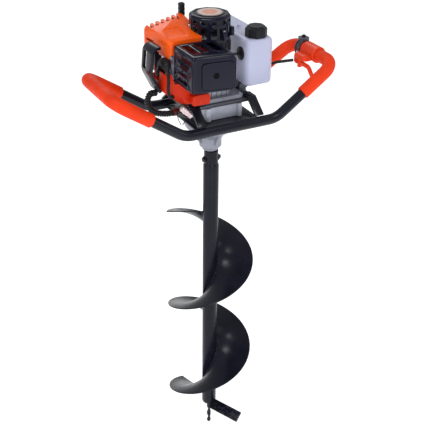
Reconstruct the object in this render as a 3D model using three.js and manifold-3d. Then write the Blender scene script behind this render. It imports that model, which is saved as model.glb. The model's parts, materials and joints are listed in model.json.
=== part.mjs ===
// Petrol-engined ice and earth auger, held by two looped grips.
// Millimetres, +Z up, X along the handle towards the throttle grip, Y to the back.
// The origin is on the bit axis at the tip of the pilot point.
import * as THREE from 'three';
import { mergeVertices } from 'three/addons/utils/BufferGeometryUtils.js';
import Module from 'manifold-3d';

const wasm = await Module();
wasm.setup();

// ---- driving dimensions ----
const GAP = 0.3; // clearance between parts that touch
const FLIGHT_R = 100; // 200 mm ice hole
const PITCH = 250;
const FLIGHT_T = 3.2;
const FLIGHT_START = 106.3; // degrees about the bit axis
const FLIGHT_END = 873;
const FLIGHT_PHASE = 118.16; // angle at which the flight passes FLIGHT_Z
const FLIGHT_Z = 98.5;
const SHAFT_R = 17.5;
const SHAFT_LOW = 70.5;
const SHAFT_SHOULDER = 745;
const COLLAR_R = 15.8;
const COLLAR_TOP = 778.5;
const SOCKET_R = 10;
const PIN_Z = 757;
const OUT_R = 9.6; // gearbox output shaft

const NOSE_LOW = 779;
const BOX_FLOOR = 838;
const BOX_TOP = 863.7;
const PLATE_Z = 864;
const UPPER_Z = 868.3;
const UPPER_TOP = 897.7;
const FLANGE_Z = 898;
const FLANGE_TOP = 905.7;
const CASE_Z = 906;
const CASE_TOP = 1000;
const FAN_Z = 1006.3;
const RECOIL_Z = 1030.3;
const RECOIL_TOP = 1085;
const RECOIL_R = 42.5;

const CRANK_X = -6; // engine axis, parallel to the bit axis
const BORE_Z = 976; // height of the cylinder axis
const THROW = 16;
const BORE_R = 22;
const FIN = 33; // half size of the square cooling fins
const HEAD_X = -104;
const LID_FRONT = 1049; // height of the shroud's lid above its front edge
const LID_SLOPE = 14.95; // degrees it climbs towards the back
const CROWN_X = -88.5; // piston crown at the top of its stroke

const TEETH_SMALL = 12;
const TEETH_LARGE = 46;
const MODULE_MM = 1;
const IDLER = [-3, Math.sqrt(29 * 29 - 9)]; // idler axis, 29 mm from both shafts

const TUBE_R = 11.15; // 22.3 mm handle tube
const GRIP_R = 14.2;
const GRIP_BORE_R = 11.9; // corners of the twelve-sided bore, clear of the tube
const BAR_Y = 88.7;
const BAR_Z = 865.5;
const BEND_X = 107.4;
const END = [252.6, 81.3, 960.7]; // corner of each grip loop

const TANK = { x0: 61, x1: 127, y0: -40, y1: 150, z0: 925, z1: 1025 };
const CAP = [96, -14];
const CARB_X = -66; // intake port on the back of the cylinder
const PULL_X = -36; // line of the starter rope
const PULL_Z = 1056;
const PULLEY_R = 30;

// ---- finishes ----
const paint = (hex, roughness, metalness = 0) => ({ color: hex, roughness, metalness });
const ORANGE = paint(0xf0642a, 0.38);
const ORANGE_DARK = paint(0xd84a22, 0.42);
const GRIP = paint(0xe8552e, 0.6);
const BLACK = paint(0x1c1d24, 0.32);
const BLACK_MATT = paint(0x17181c, 0.6);
const BIT_BLACK = paint(0x22242b, 0.3);
const SILVER = paint(0xbfc0c8, 0.4, 0.8);
const STEEL = paint(0x9a9ca2, 0.32, 0.9);
const DARK_STEEL = paint(0x4a4b50, 0.4, 0.7);
const RUST = paint(0x5b2420, 0.6, 0.3);
const WHITE = paint(0xd9dbe8, 0.35);
const BRASS = paint(0xb5914a, 0.35, 0.8);

const group = new THREE.Group();
group.name = 'ice_fishing_auger';

// ---- mesh helpers ----
function indexed(geometry) {
  const g = geometry.clone();
  for (const key of Object.keys(g.attributes)) {
    if (key !== 'position') g.deleteAttribute(key);
  }
  const m = mergeVertices(g, 1e-4);
  const pos = m.attributes.position;
  const kept = [];
  let volume = 0;
  const a = new THREE.Vector3();
  const b = new THREE.Vector3();
  const c = new THREE.Vector3();
  for (let i = 0; i < m.index.count; i += 3) {
    const [p, q, r] = [m.index.getX(i), m.index.getX(i + 1), m.index.getX(i + 2)];
    if (p === q || q === r || p === r) continue;
    kept.push(p, q, r);
    a.fromBufferAttribute(pos, p);
    b.fromBufferAttribute(pos, q);
    c.fromBufferAttribute(pos, r);
    volume += a.dot(b.cross(c));
  }
  if (volume < 0) kept.reverse();
  m.setIndex(kept);
  return m;
}

function solid(geometry) {
  const g = indexed(geometry);
  return new wasm.Manifold(new wasm.Mesh({
    numProp: 3,
    vertProperties: new Float32Array(g.attributes.position.array),
    triVerts: new Uint32Array(g.index.array),
  }));
}

function geometryOf(manifold) {
  const mesh = manifold.getMesh();
  const g = new THREE.BufferGeometry();
  g.setAttribute('position', new THREE.BufferAttribute(new Float32Array(mesh.vertProperties), 3));
  g.setIndex(new THREE.BufferAttribute(new Uint32Array(mesh.triVerts), 1));
  return g;
}

function add(name, shape, finish) {
  const raw = shape.isBufferGeometry ? indexed(shape) : geometryOf(shape);
  raw.computeVertexNormals();
  const mesh = new THREE.Mesh(raw, new THREE.MeshStandardMaterial(finish));
  mesh.name = name;
  group.add(mesh);
}

function union(list) {
  return list.slice(1).reduce((sum, m) => sum.add(m), list[0]);
}

function cut(body, tools) {
  return tools.reduce((rest, m) => rest.subtract(m), body);
}

// ---- shape helpers ----
function box(x0, x1, y0, y1, z0, z1) {
  const g = new THREE.BoxGeometry(x1 - x0, y1 - y0, z1 - z0);
  g.translate((x0 + x1) / 2, (y0 + y1) / 2, (z0 + z1) / 2);
  return solid(g);
}

// profile of [radius, z] pairs turned about a vertical axis at (x, y)
function turned(profile, x = 0, y = 0, sides = 28) {
  const g = new THREE.LatheGeometry(profile.map(([r, z]) => new THREE.Vector2(r, z)), sides);
  g.rotateX(Math.PI / 2);
  g.translate(x, y, 0);
  return solid(g);
}

function rod(r, z0, z1, x = 0, y = 0, sides = 16) {
  return turned([[0, z0], [r, z0], [r, z1], [0, z1]], x, y, sides);
}

function ring(rIn, rOut, z0, z1, x = 0, y = 0, sides = 28) {
  return turned([[rIn, z0], [rOut, z0], [rOut, z1], [rIn, z1], [rIn, z0]], x, y, sides);
}

// straight round bar between two points
function bar(from, to, r, sides = 14) {
  const a = new THREE.Vector3(...from);
  const d = new THREE.Vector3(...to).sub(a);
  const g = new THREE.CylinderGeometry(r, r, d.length(), sides);
  const turn = new THREE.Quaternion().setFromUnitVectors(
    new THREE.Vector3(0, 1, 0), d.clone().normalize());
  g.applyQuaternion(turn);
  g.translate(a.x + d.x / 2, a.y + d.y / 2, a.z + d.z / 2);
  return solid(g);
}

function polygon(points) {
  return new THREE.Shape(points.map(([x, y]) => new THREE.Vector2(x, y)));
}

// polygon with every corner rounded
function softPolygon(points, radius, steps = 3) {
  const out = [];
  const n = points.length;
  for (let i = 0; i < n; i += 1) {
    const p = new THREE.Vector2(...points[i]);
    const before = new THREE.Vector2(...points[(i + n - 1) % n]).sub(p);
    const after = new THREE.Vector2(...points[(i + 1) % n]).sub(p);
    const reach = Math.min(radius, before.length() / 2.05, after.length() / 2.05);
    const a = p.clone().add(before.setLength(reach));
    const b = p.clone().add(after.setLength(reach));
    for (let k = 0; k <= steps; k += 1) {
      const t = k / steps;
      out.push([
        (1 - t) ** 2 * a.x + 2 * t * (1 - t) * p.x + t * t * b.x,
        (1 - t) ** 2 * a.y + 2 * t * (1 - t) * p.y + t * t * b.y,
      ]);
    }
  }
  return out;
}

function slab(points, z0, z1) {
  const g = new THREE.ExtrudeGeometry(polygon(points), { depth: z1 - z0, bevelEnabled: false });
  g.translate(0, 0, z0);
  return solid(g);
}

// points are (x, z) pairs, extruded along Y
function slabY(points, y0, y1) {
  const g = new THREE.ExtrudeGeometry(polygon(points), { depth: y1 - y0, bevelEnabled: false });
  g.rotateX(Math.PI / 2);
  g.translate(0, y1, 0);
  return solid(g);
}

// points are (y, z) pairs, extruded along X
function slabX(points, x0, x1) {
  const g = new THREE.ExtrudeGeometry(polygon(points), { depth: x1 - x0, bevelEnabled: false });
  g.rotateX(Math.PI / 2);
  g.rotateZ(Math.PI / 2);
  g.translate(x0, 0, 0);
  return solid(g);
}

function softRect(x0, x1, y0, y1, r) {
  return softPolygon([[x0, y0], [x1, y0], [x1, y1], [x0, y1]], r);
}

// corners of a 3-D path replaced by arcs; radii is one value per corner
function filleted(points, radii, closed, steps = 6) {
  const pts = points.map((p) => new THREE.Vector3(...p));
  const out = [];
  pts.forEach((p, i) => {
    const isEnd = !closed && (i === 0 || i === pts.length - 1);
    if (isEnd || !radii[i]) {
      out.push(p.clone());
      return;
    }
    const u = pts[(i + pts.length - 1) % pts.length].clone().sub(p).normalize();
    const v = pts[(i + 1) % pts.length].clone().sub(p).normalize();
    const half = u.angleTo(v) / 2;
    const reach = radii[i] / Math.tan(half);
    const centre = u.clone().add(v).setLength(radii[i] / Math.sin(half)).add(p);
    const a = u.clone().multiplyScalar(reach).add(p).sub(centre);
    const b = v.clone().multiplyScalar(reach).add(p).sub(centre);
    const whole = a.angleTo(b);
    for (let k = 0; k <= steps; k += 1) {
      const t = k / steps;
      const arm = a.clone().multiplyScalar(Math.sin((1 - t) * whole))
        .add(b.clone().multiplyScalar(Math.sin(t * whole)))
        .divideScalar(Math.sin(whole));
      out.push(arm.add(centre));
    }
  });
  return out;
}

function smoothPath(points, count) {
  const curve = new THREE.CatmullRomCurve3(points.map((p) => new THREE.Vector3(...p)));
  return curve.getSpacedPoints(count);
}

// closed surface swept along a path; section gives loops of [side, up] offsets
function sweep(path, loops, closed) {
  const up = new THREE.Vector3(0, 0, 1);
  const count = path.length;
  const frames = [];
  let normal = null;
  for (let i = 0; i < count; i += 1) {
    const ahead = path[closed ? (i + 1) % count : Math.min(i + 1, count - 1)];
    const behind = path[closed ? (i + count - 1) % count : Math.max(i - 1, 0)];
    const tangent = ahead.clone().sub(behind).normalize();
    if (closed || !normal) {
      normal = Math.abs(tangent.z) > 0.95 ? new THREE.Vector3(1, 0, 0) : up.clone();
    }
    normal = normal.clone().addScaledVector(tangent, -normal.dot(tangent)).normalize();
    frames.push([tangent.clone().cross(normal), normal]);
  }
  const verts = [];
  const tris = [];
  const starts = loops.map((loop) => {
    const start = verts.length / 3;
    for (let i = 0; i < count; i += 1) {
      for (const [s, h] of loop) {
        const p = path[i].clone().addScaledVector(frames[i][0], s).addScaledVector(frames[i][1], h);
        verts.push(p.x, p.y, p.z);
      }
    }
    return start;
  });
  loops.forEach((loop, which) => {
    const n = loop.length;
    const last = closed ? count : count - 1;
    for (let i = 0; i < last; i += 1) {
      for (let j = 0; j < n; j += 1) {
        const a = starts[which] + i * n + j;
        const b = starts[which] + i * n + ((j + 1) % n);
        const c = starts[which] + ((i + 1) % count) * n + j;
        const d = starts[which] + ((i + 1) % count) * n + ((j + 1) % n);
        if (which === 0) tris.push(a, c, b, b, c, d);
        else tris.push(a, b, c, b, d, c);
      }
    }
  });
  if (!closed) {
    const n = loops[0].length;
    for (const [row, flip] of [[0, false], [count - 1, true]]) {
      const o = starts[0] + row * n;
      if (loops.length === 1) {
        for (let j = 1; j < n - 1; j += 1) {
          tris.push(o, ...(flip ? [o + j + 1, o + j] : [o + j, o + j + 1]));
        }
      } else {
        const p = starts[1] + row * n;
        for (let j = 0; j < n; j += 1) {
          const k = (j + 1) % n;
          const quad = flip ? [o + j, p + j, o + k, o + k, p + j, p + k]
            : [o + j, o + k, p + j, o + k, p + k, p + j];
          tris.push(...quad);
        }
      }
    }
  }
  const g = new THREE.BufferGeometry();
  g.setAttribute('position', new THREE.BufferAttribute(new Float32Array(verts), 3));
  g.setIndex(tris);
  return g;
}

function circle(r, n) {
  return Array.from({ length: n }, (_, i) => {
    const a = (2 * Math.PI * i) / n;
    return [r * Math.cos(a), r * Math.sin(a)];
  });
}

const tube = (path, r, n = 8) => solid(sweep(path, [circle(r, n)], false));
const sleeve = (path, rOut, rIn, n = 12) => (
  solid(sweep(path, [circle(rOut, n), circle(rIn, n)], false)));

// spur gear with a tooth centred on the given angle
function gear(teeth, x, y, z0, z1, toothAt) {
  const pitchR = (teeth * MODULE_MM) / 2;
  const pressure = (25 * Math.PI) / 180;
  const baseR = pitchR * Math.cos(pressure);
  const tip = pitchR + 0.8 * MODULE_MM;
  const root = pitchR - 1.05 * MODULE_MM;
  const inv = (a) => Math.tan(a) - a;
  const half = Math.PI / (2 * teeth) - (0.09 * MODULE_MM) / pitchR;
  const flankAt = (r) => half + inv(pressure) - inv(Math.acos(Math.min(1, baseR / r)));
  const low = Math.max(root, baseR);
  const flank = [low, tip].map((r) => [r, flankAt(r)]);
  if (low > root + 0.1) flank.unshift([root, flankAt(low)]);
  const points = [];
  for (let i = 0; i < teeth; i += 1) {
    const mid = toothAt + (2 * Math.PI * i) / teeth;
    for (const [r, a] of flank) points.push([r, mid - a]);
    for (const [r, a] of [...flank].reverse()) points.push([r, mid + a]);
  }
  return slab(points.map(([r, a]) => [x + r * Math.cos(a), y + r * Math.sin(a)]), z0, z1);
}

// hexagon-headed bolt head standing up from z
const hexHead = (x, y, z, r = 4, h = 3) => rod(r, z, z + h, x, y, 6);

// ---- bit: shaft, flight, pilot point, blade and the pin that drives it ----
function buildBit() {
  const shaft = turned([
    [0, SHAFT_LOW], [13, SHAFT_LOW], [16.5, SHAFT_LOW + 2.5], [SHAFT_R, SHAFT_LOW + 7],
    [SHAFT_R, SHAFT_SHOULDER - 2], [COLLAR_R, SHAFT_SHOULDER + 2], [COLLAR_R, COLLAR_TOP],
    [SOCKET_R, COLLAR_TOP], [SOCKET_R, 700], [0, 700],
  ], 0, 0, 32);
  const pinHole = bar([-40, 0, PIN_Z], [40, 0, PIN_Z], 4.4, 24);
  add('auger_shaft', cut(shaft, [pinHole, blade(GAP)]), BIT_BLACK);
  add('auger_flight', flight(), BIT_BLACK);
  add('pilot_point', pilot(), STEEL);
  add('cutter_blade', blade(0), BIT_BLACK);
  add('drive_pin_bolt', union([
    bar([-COLLAR_R - 5.6, 0, PIN_Z], [-COLLAR_R - GAP, 0, PIN_Z], 7, 6),
    bar([-COLLAR_R - 1, 0, PIN_Z], [COLLAR_R + 7.5, 0, PIN_Z], 4, 20),
    bar([COLLAR_R + GAP, 0, PIN_Z], [COLLAR_R + 6, 0, PIN_Z], 7, 6),
  ]), BIT_BLACK);
}

function flight() {
  const steps = 84;
  const verts = [];
  const tris = [];
  for (let i = 0; i <= steps; i += 1) {
    const degrees = FLIGHT_START + ((FLIGHT_END - FLIGHT_START) * i) / steps;
    const a = (degrees * Math.PI) / 180;
    const z = FLIGHT_Z + (PITCH * (degrees - FLIGHT_PHASE)) / 360;
    for (const [r, h] of [
      [SHAFT_R + GAP, -FLIGHT_T / 2], [FLIGHT_R, -FLIGHT_T / 2],
      [FLIGHT_R, FLIGHT_T / 2], [SHAFT_R + GAP, FLIGHT_T / 2],
    ]) {
      verts.push(r * Math.cos(a), r * Math.sin(a), z + h);
    }
  }
  for (let i = 0; i < steps; i += 1) {
    for (let j = 0; j < 4; j += 1) {
      const k = (j + 1) % 4;
      const [a, b, c, d] = [i * 4 + j, i * 4 + k, i * 4 + 4 + j, i * 4 + 4 + k];
      tris.push(a, b, c, b, d, c);
    }
  }
  const e = steps * 4;
  tris.push(0, 2, 1, 0, 3, 2, e, e + 1, e + 2, e, e + 2, e + 3);
  const g = new THREE.BufferGeometry();
  g.setAttribute('position', new THREE.BufferAttribute(new Float32Array(verts), 3));
  g.setIndex(tris);
  return solid(g);
}

// twisted flat point
function pilot() {
  const top = SHAFT_LOW - GAP;
  const rows = 18;
  const verts = [0, 0, 0];
  const tris = [];
  for (let i = 0; i < rows; i += 1) {
    const t = i / (rows - 1);
    const z = 2.5 + t * (top - 2.5);
    const grow = Math.min(1, 0.7 + t * 4);
    const turn = ((z - 5) / 25) * Math.PI - 0.494;
    for (const [x, y] of [[4.8, 2.2], [-4.8, 2.2], [-4.8, -2.2], [4.8, -2.2]]) {
      const u = x * grow;
      const v = y * grow;
      verts.push(u * Math.cos(turn) - v * Math.sin(turn), u * Math.sin(turn) + v * Math.cos(turn), z);
    }
  }
  for (let j = 0; j < 4; j += 1) tris.push(0, 1 + ((j + 1) % 4), 1 + j);
  for (let i = 0; i < rows - 1; i += 1) {
    for (let j = 0; j < 4; j += 1) {
      const a = 1 + i * 4 + j;
      const b = 1 + i * 4 + ((j + 1) % 4);
      tris.push(a, b, a + 4, b, b + 4, a + 4);
    }
  }
  const e = 1 + (rows - 1) * 4;
  tris.push(e, e + 1, e + 2, e, e + 2, e + 3);
  const g = new THREE.BufferGeometry();
  g.setAttribute('position', new THREE.BufferAttribute(new Float32Array(verts), 3));
  g.setIndex(tris);
  return solid(g).add(rod(4.6, 46, top, 0, 0, 20));
}

// ice cutter: a tilted flat bar from a slot in the shaft's foot to the full radius of the hole;
// grow makes the slot it stands in
function blade(grow) {
  const along = new THREE.Vector3(32, -71.5, 0).setLength(grow);
  const across = new THREE.Vector3(-19, -9, -16).setLength(grow);
  const down = new THREE.Vector3(0.55, 0.25, -1).normalize();
  const verts = [];
  for (const depth of [-grow, 5 + grow]) {
    for (const [x, y, z, far, low] of [
      [9.3, -7.3, 80, -1, -1], [45, -87, 80, 1, -1], [26, -96, 64, 1, 1], [-9.7, -15.8, 64, -1, 1],
    ]) {
      const corner = new THREE.Vector3(x, y, z).addScaledVector(along, far).addScaledVector(across, low);
      verts.push(...corner.addScaledVector(down, depth).toArray());
    }
  }
  const tris = [0, 1, 2, 0, 2, 3, 4, 6, 5, 4, 7, 6];
  for (let j = 0; j < 4; j += 1) {
    const k = (j + 1) % 4;
    tris.push(j, 4 + j, k, k, 4 + j, 4 + k);
  }
  const g = new THREE.BufferGeometry();
  g.setAttribute('position', new THREE.BufferAttribute(new Float32Array(verts), 3));
  g.setIndex(tris);
  return solid(g);
}

// ---- gearbox: two housings, a two-stage gear train and the clutch drum ----
function buildGearbox() {
  const toIdler = Math.atan2(IDLER[1], IDLER[0]);
  const toInput = Math.atan2(-IDLER[1], CRANK_X - IDLER[0]);
  const outer = turned([
    [0, NOSE_LOW], [17.5, NOSE_LOW], [17.5, NOSE_LOW + 6], [24.5, NOSE_LOW + 9], [24.5, 806],
    [30, 816], [54, 834], [58, 842], [58, BOX_TOP], [0, BOX_TOP],
  ], 0, 4, 32);
  const ribs = [0, 90, 180, 270].map((deg) => {
    const rib = slabY([[15, 792], [24, 794], [52, 834], [15, 834]], -2.5, 2.5);
    return rib.rotate([0, 0, deg]).translate([0, 4, 0]);
  });
  const pocket = union([
    rod(26, BOX_FLOOR, BOX_TOP + 5, 0, 0, 26),
    rod(26, BOX_FLOOR, BOX_TOP + 5, IDLER[0], IDLER[1], 26),
  ]);
  add('gearbox_lower', cut(union([outer, ...ribs]), [
    pocket, rod(OUT_R + 0.7, 770, 850, 0, 0, 32), rod(18.3, 824, 850, 0, 0, 32),
    rod(4.3, 834, 850, IDLER[0], IDLER[1], 20),
  ]), SILVER);
  add('output_bearing', ring(OUT_R + 0.2, 18, 824.4, 833), STEEL);
  const upper = slab(softRect(-43, 52, -46, 60, 12), UPPER_Z, UPPER_TOP);
  add('gearbox_upper', cut(upper, [
    rod(31, 876, 910, CRANK_X, 0, 26), rod(6.4, 860, 880, CRANK_X, 0, 32),
    rod(4.3, 860, 872, IDLER[0], IDLER[1], 20),
  ]), SILVER);
  const outputShaft = rod(OUT_R, 702, 851, 0, 0, 32);
  add('output_shaft', outputShaft.subtract(bar([-40, 0, PIN_Z], [40, 0, PIN_Z], 4.4, 24)), STEEL);
  const largeBlank = gear(TEETH_LARGE, 0, 0, 843.5, 850.5, toIdler);
  add('output_gear', largeBlank.subtract(rod(OUT_R + 0.3, 840, 855, 0, 0, 32)), DARK_STEEL);
  const [ix, iy] = IDLER;
  add('idler_gear', union([
    rod(4, 836, 871, ix, iy, 20),
    gear(TEETH_SMALL, ix, iy, 843, 852, toIdler + Math.PI + Math.PI / TEETH_SMALL),
    gear(TEETH_LARGE, ix, iy, 853.5, 860, toInput),
  ]), DARK_STEEL);
  const drum = turned([
    [0, 853], [6, 853], [6, 877], [29, 877], [29, 895], [27, 895], [27, 880], [0, 880],
  ], CRANK_X, 0, 26);
  const pinion = gear(TEETH_SMALL, CRANK_X, 0, 853, 861,
    toInput + Math.PI + Math.PI / TEETH_SMALL);
  const shaftOnly = drum.subtract(rod(9, 850, 861.5, CRANK_X, 0, 24));
  add('clutch_drum', union([shaftOnly, pinion, rod(4.6, 854, 866, CRANK_X, 0, 20)]), STEEL);
}

// ---- handle frame: one looped tube, sleeves, plate and four straps ----
function handlePath() {
  const [ex, ey, ez] = END;
  const corners = [
    [BEND_X, -BAR_Y, BAR_Z], [ex, -ey, ez], [ex, ey, ez], [BEND_X, BAR_Y, BAR_Z],
    [-BEND_X, BAR_Y, BAR_Z], [-ex, ey, ez], [-ex, -ey, ez], [-BEND_X, -BAR_Y, BAR_Z],
  ];
  return filleted(corners, [60, 32, 32, 60, 60, 32, 32, 60], true, 4);
}

function gripPath(side, reachFront, reachBack) {
  const [ex, ey, ez] = END;
  const on = (y, t) => [
    side * (BEND_X + t * (ex - BEND_X)), Math.sign(y) * (BAR_Y + t * (ey - BAR_Y)),
    BAR_Z + t * (ez - BAR_Z),
  ];
  const points = [on(-1, reachFront), [side * ex, -ey, ez], [side * ex, ey, ez], on(1, reachBack)];
  return filleted(points, [0, 32, 32, 0], false, 4);
}

function buildHandle() {
  add('handle_tube', solid(sweep(handlePath(), [circle(TUBE_R, 12)], true)), BLACK);
  add('grip_left', sleeve(gripPath(-1, 0.49, 0.46), GRIP_R, GRIP_BORE_R), GRIP);
  add('grip_right', sleeve(gripPath(1, 0.45, 0.5), GRIP_R, GRIP_BORE_R), GRIP);
  const half = BAR_Y - TUBE_R - GAP;
  const plate = slab(softRect(-74, 74, -half, half, 6), PLATE_Z, UPPER_Z - GAP);
  const holes = [[60, -66], [-60, -66], [60, 66], [-60, 66]].map(([x, y]) => rod(4.5, 850, 880, x, y, 20));
  const opening = slab(softRect(-36, 30, -32, 58, 14), 850, 880);
  add('mounting_plate', cut(plate, [opening, ...holes]), BLACK_MATT);
  for (const [side, tag] of [[-1, 'left'], [1, 'right']]) {
    for (const [depth, where] of [[-1, 'front'], [1, 'back']]) {
      const x0 = side * 67 - 10;
      const profile = [
        [32, FLANGE_TOP + GAP], [50, FLANGE_TOP + GAP], [86, 877.5], [89.5, 880.5],
        [53, 910], [32, 910],
      ].map(([y, z]) => [depth * y, z]);
      const strap = slabX(profile, x0, x0 + 20);
      const head = hexHead(side * 67, depth * 40, 909.5, 6, 4.5);
      add(`strap_${where}_${tag}`, strap.add(head), BLACK);
    }
  }
}

// ---- engine ----
function buildEngine() {
  const flange = slab(softRect(-79, 79, -49.5, 49.5, 10), FLANGE_Z, FLANGE_TOP);
  const arms = [-14, 14].map((y) => union([
    box(60, 76, y, y + 12, 902, 924.7), box(60, 112, y, y + 12, 921.7, 924.7),
  ]));
  add('engine_flange', cut(union([flange, ...arms]), [rod(14, 890, 910, CRANK_X, 0, 32)]), DARK_STEEL);
  const crankBore = rod(31.5, 950, CASE_TOP + 5, CRANK_X, 0, 26);
  const body = union([
    slab(softRect(-43, 34, -33, 40, 16), CASE_Z, CASE_TOP),
    slab(softRect(-54, 54, -44, 46, 8), CASE_Z, CASE_Z + 8.5),
  ]);
  const pistonWay = bar([-80, 0, BORE_Z], [CRANK_X, 0, BORE_Z], BORE_R + 1, 32);
  add('crankcase', cut(body, [
    crankBore, pistonWay, rod(8.4, 900, 960, CRANK_X, 0, 32),
  ]), SILVER);
  buildCylinder();
  buildCrank();
  buildIntake();
  buildExhaust();
}

function buildCylinder() {
  const foot = box(-49, -43.3, -30, 30, BORE_Z - 23.5, BORE_Z + 23.5);
  const barrel = bar([HEAD_X, 0, BORE_Z], [-43.3, 0, BORE_Z], 27, 24);
  const fins = [];
  for (let i = 0; i < 6; i += 1) {
    const x = -55 - i * 8.6;
    const square = softPolygon(
      [[-FIN, BORE_Z - FIN], [FIN, BORE_Z - FIN], [FIN, BORE_Z + FIN], [-FIN, BORE_Z + FIN]], 8, 1);
    fins.push(slabX(square, x - 2, x));
  }
  const ports = [
    box(-84, -58, -FIN, -20, BORE_Z - 12, BORE_Z + 12), box(-82, -52, 20, FIN, BORE_Z - 12, BORE_Z + 12),
  ];
  const holes = [
    bar([-91, 0, BORE_Z], [-40, 0, BORE_Z], BORE_R + 0.3, 28),
    bar([-125, 0, BORE_Z], [-85, 0, BORE_Z], 5.3, 16),
    box(-79, -63, -60, 0, BORE_Z - 6, BORE_Z + 6), box(-75, -59, 0, 60, BORE_Z - 6, BORE_Z + 6),
  ];
  add('cylinder', cut(union([foot, barrel, ...fins, ...ports]), holes), SILVER);
  const plug = union([
    bar([-110, 0, BORE_Z], [-92, 0, BORE_Z], 5, 16),
    bar([-112, 0, BORE_Z], [HEAD_X - 0.4, 0, BORE_Z], 9, 6),
    bar([-124, 0, BORE_Z], [-110, 0, BORE_Z], 4.4, 16),
  ]);
  add('spark_plug', plug, WHITE);
  const leadPath = smoothPath([
    [-120, -4, 982], [-118, -14, 999], [-120, -30, 1003], [-124, -46, 992], [-124.5, -51, 972],
    [-126, -53, 954], [-123, -53, 942], [-114, -50, 938], [-114, -45.4, 938],
  ], 26);
  const cap = union([
    bar([-128, 0, BORE_Z], [-112.5, 0, BORE_Z], 8, 16),
    bar([-121, 0, BORE_Z], [-119, -12, 995], 6.5, 14),
    bar([-119, -12, 995], [-121, -36, 999], 6.5, 14),
    tube(leadPath, 3.2, 8),
  ]);
  add('plug_cap_and_lead', cap.subtract(bar([-125, 0, BORE_Z], [-105, 0, BORE_Z], 4.8, 16)), BLACK_MATT);
}

function buildCrank() {
  const webOutline = softPolygon([[-23, -9], [-23, 9], [6, 24], [24, 14], [24, -14], [6, -24]], 6)
    .map(([x, y]) => [CRANK_X + x, y]);
  add('crankshaft', union([
    rod(8, 903, 962, CRANK_X, 0, 24), rod(5.5, 881, 905, CRANK_X, 0, 20),
    slab(webOutline, 957, 967), slab(webOutline, 985, 994),
    rod(6.5, 962, 990, CRANK_X - THROW, 0, 20), rod(8, 990, 1044, CRANK_X, 0, 24),
  ]), STEEL);
  const shoe = cut(rod(26, 882, 893, CRANK_X, 0, 26), [
    box(CRANK_X - 3, CRANK_X + 3, 9, 40, 870, 900), box(CRANK_X - 3, CRANK_X + 3, -40, -9, 870, 900),
    rod(5.8, 870, 900, CRANK_X, 0, 24),
  ]);
  add('clutch_shoes', shoe, DARK_STEEL);
  const blades = Array.from({ length: 9 }, (_, i) => (
    box(14, 38, -1.3, 1.3, 1012, 1024).rotate([0, 0, i * 40]).translate([CRANK_X, 0, 0])));
  const cup = turned([[0, 1020], [22, 1020], [22, 1040], [19, 1040], [19, 1029], [0, 1029]], CRANK_X, 0, 32);
  const wheel = union([
    rod(38.5, 1008.5, 1012.5, CRANK_X, 0, 26), rod(15, 1009, 1026, CRANK_X, 0, 24), cup, ...blades,
  ]);
  add('flywheel_fan', wheel.subtract(rod(8.3, 1000, 1050, CRANK_X, 0, 24)), SILVER);
  const crown = turned([
    [0, 0], [BORE_R - 0.2, 0], [BORE_R - 0.2, 24], [18, 24], [18, 5], [0, 5],
  ], 0, 0, 36).rotate([0, 90, 0]).translate([CROWN_X, 0, BORE_Z]);
  const pinX = CROWN_X + 15.5;
  const wrist = bar([pinX, -19, BORE_Z], [pinX, 19, BORE_Z], 4.5, 14);
  add('piston', crown.add(wrist), SILVER);
  const eye = bar([pinX, -6, BORE_Z], [pinX, 6, BORE_Z], 8.5, 18);
  const stem = box(pinX + 6, pinX + 9.5, -5, 5, BORE_Z - 5, BORE_Z + 5);
  const pinBore = bar([pinX, -30, BORE_Z], [pinX, 30, BORE_Z], 4.8, 14);
  add('connecting_rod', eye.add(stem).subtract(pinBore), STEEL);
}

function buildIntake() {
  const carb = union([
    box(-82, -52, FIN + GAP, 46, BORE_Z - 13, BORE_Z + 13),
    box(CARB_X - 17, CARB_X + 17, 45, 70, BORE_Z - 15, BORE_Z + 15),
    rod(11, BORE_Z - 27, BORE_Z - 14, CARB_X, 58, 20),
  ]);
  const throat = bar([CARB_X, 30, BORE_Z], [CARB_X, 75, BORE_Z], 7, 24);
  add('carburettor', cut(carb, [
    throat, rod(5, BORE_Z + 8, 1000, CARB_X + 9, 58, 16), rod(8.6, BORE_Z - 28, BORE_Z - 21, CARB_X, 58, 20),
  ]), SILVER);
  add('throttle_lever', union([
    rod(4.4, BORE_Z + 8.5, BORE_Z + 19, CARB_X + 9, 58, 16),
    box(CARB_X + 6.5, CARB_X + 27, 55.5, 60.5, BORE_Z + 15.5, BORE_Z + 18),
  ]), BRASS);
  const shell = slabY(softPolygon([[-98, 946], [-32, 946], [-32, 1018], [-98, 1018]], 10), 70.3, 84);
  const hollow = slabY(softPolygon([[-95, 949], [-35, 949], [-35, 1015], [-95, 1015]], 8), 73, 90);
  add('filter_base', cut(shell, [hollow, bar([CARB_X, 60, BORE_Z], [CARB_X, 80, BORE_Z], 8, 24)]), BLACK);
  const cover = slabY(softPolygon([[-98, 946], [-32, 946], [-32, 1018], [-98, 1018]], 10), 84.3, 104);
  const inside = slabY(softPolygon([[-95, 949], [-35, 949], [-35, 1015], [-95, 1015]], 8), 80, 101);
  const vents = [960, 972, 984, 996].map((z) => box(-85, -45, 95, 110, z, z + 5));
  add('filter_cover', cut(cover, [inside, ...vents]), BLACK);
  add('choke_lever', union([
    bar([-27.5, 77, 1000], [-31.6, 77, 1000], 4, 16),
    box(-30.5, -27.7, 74, 80, 997, 1026),
  ]), ORANGE);
  const bulb = turned([[0, 0], [8, 0], [8, 3], [6.8, 8], [4, 10.5], [0, 11.2]], 0, 0, 20);
  add('primer_bulb', bulb.rotate([180, 0, 0]).translate([CARB_X, 58, 948.6]), WHITE);
}

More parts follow.
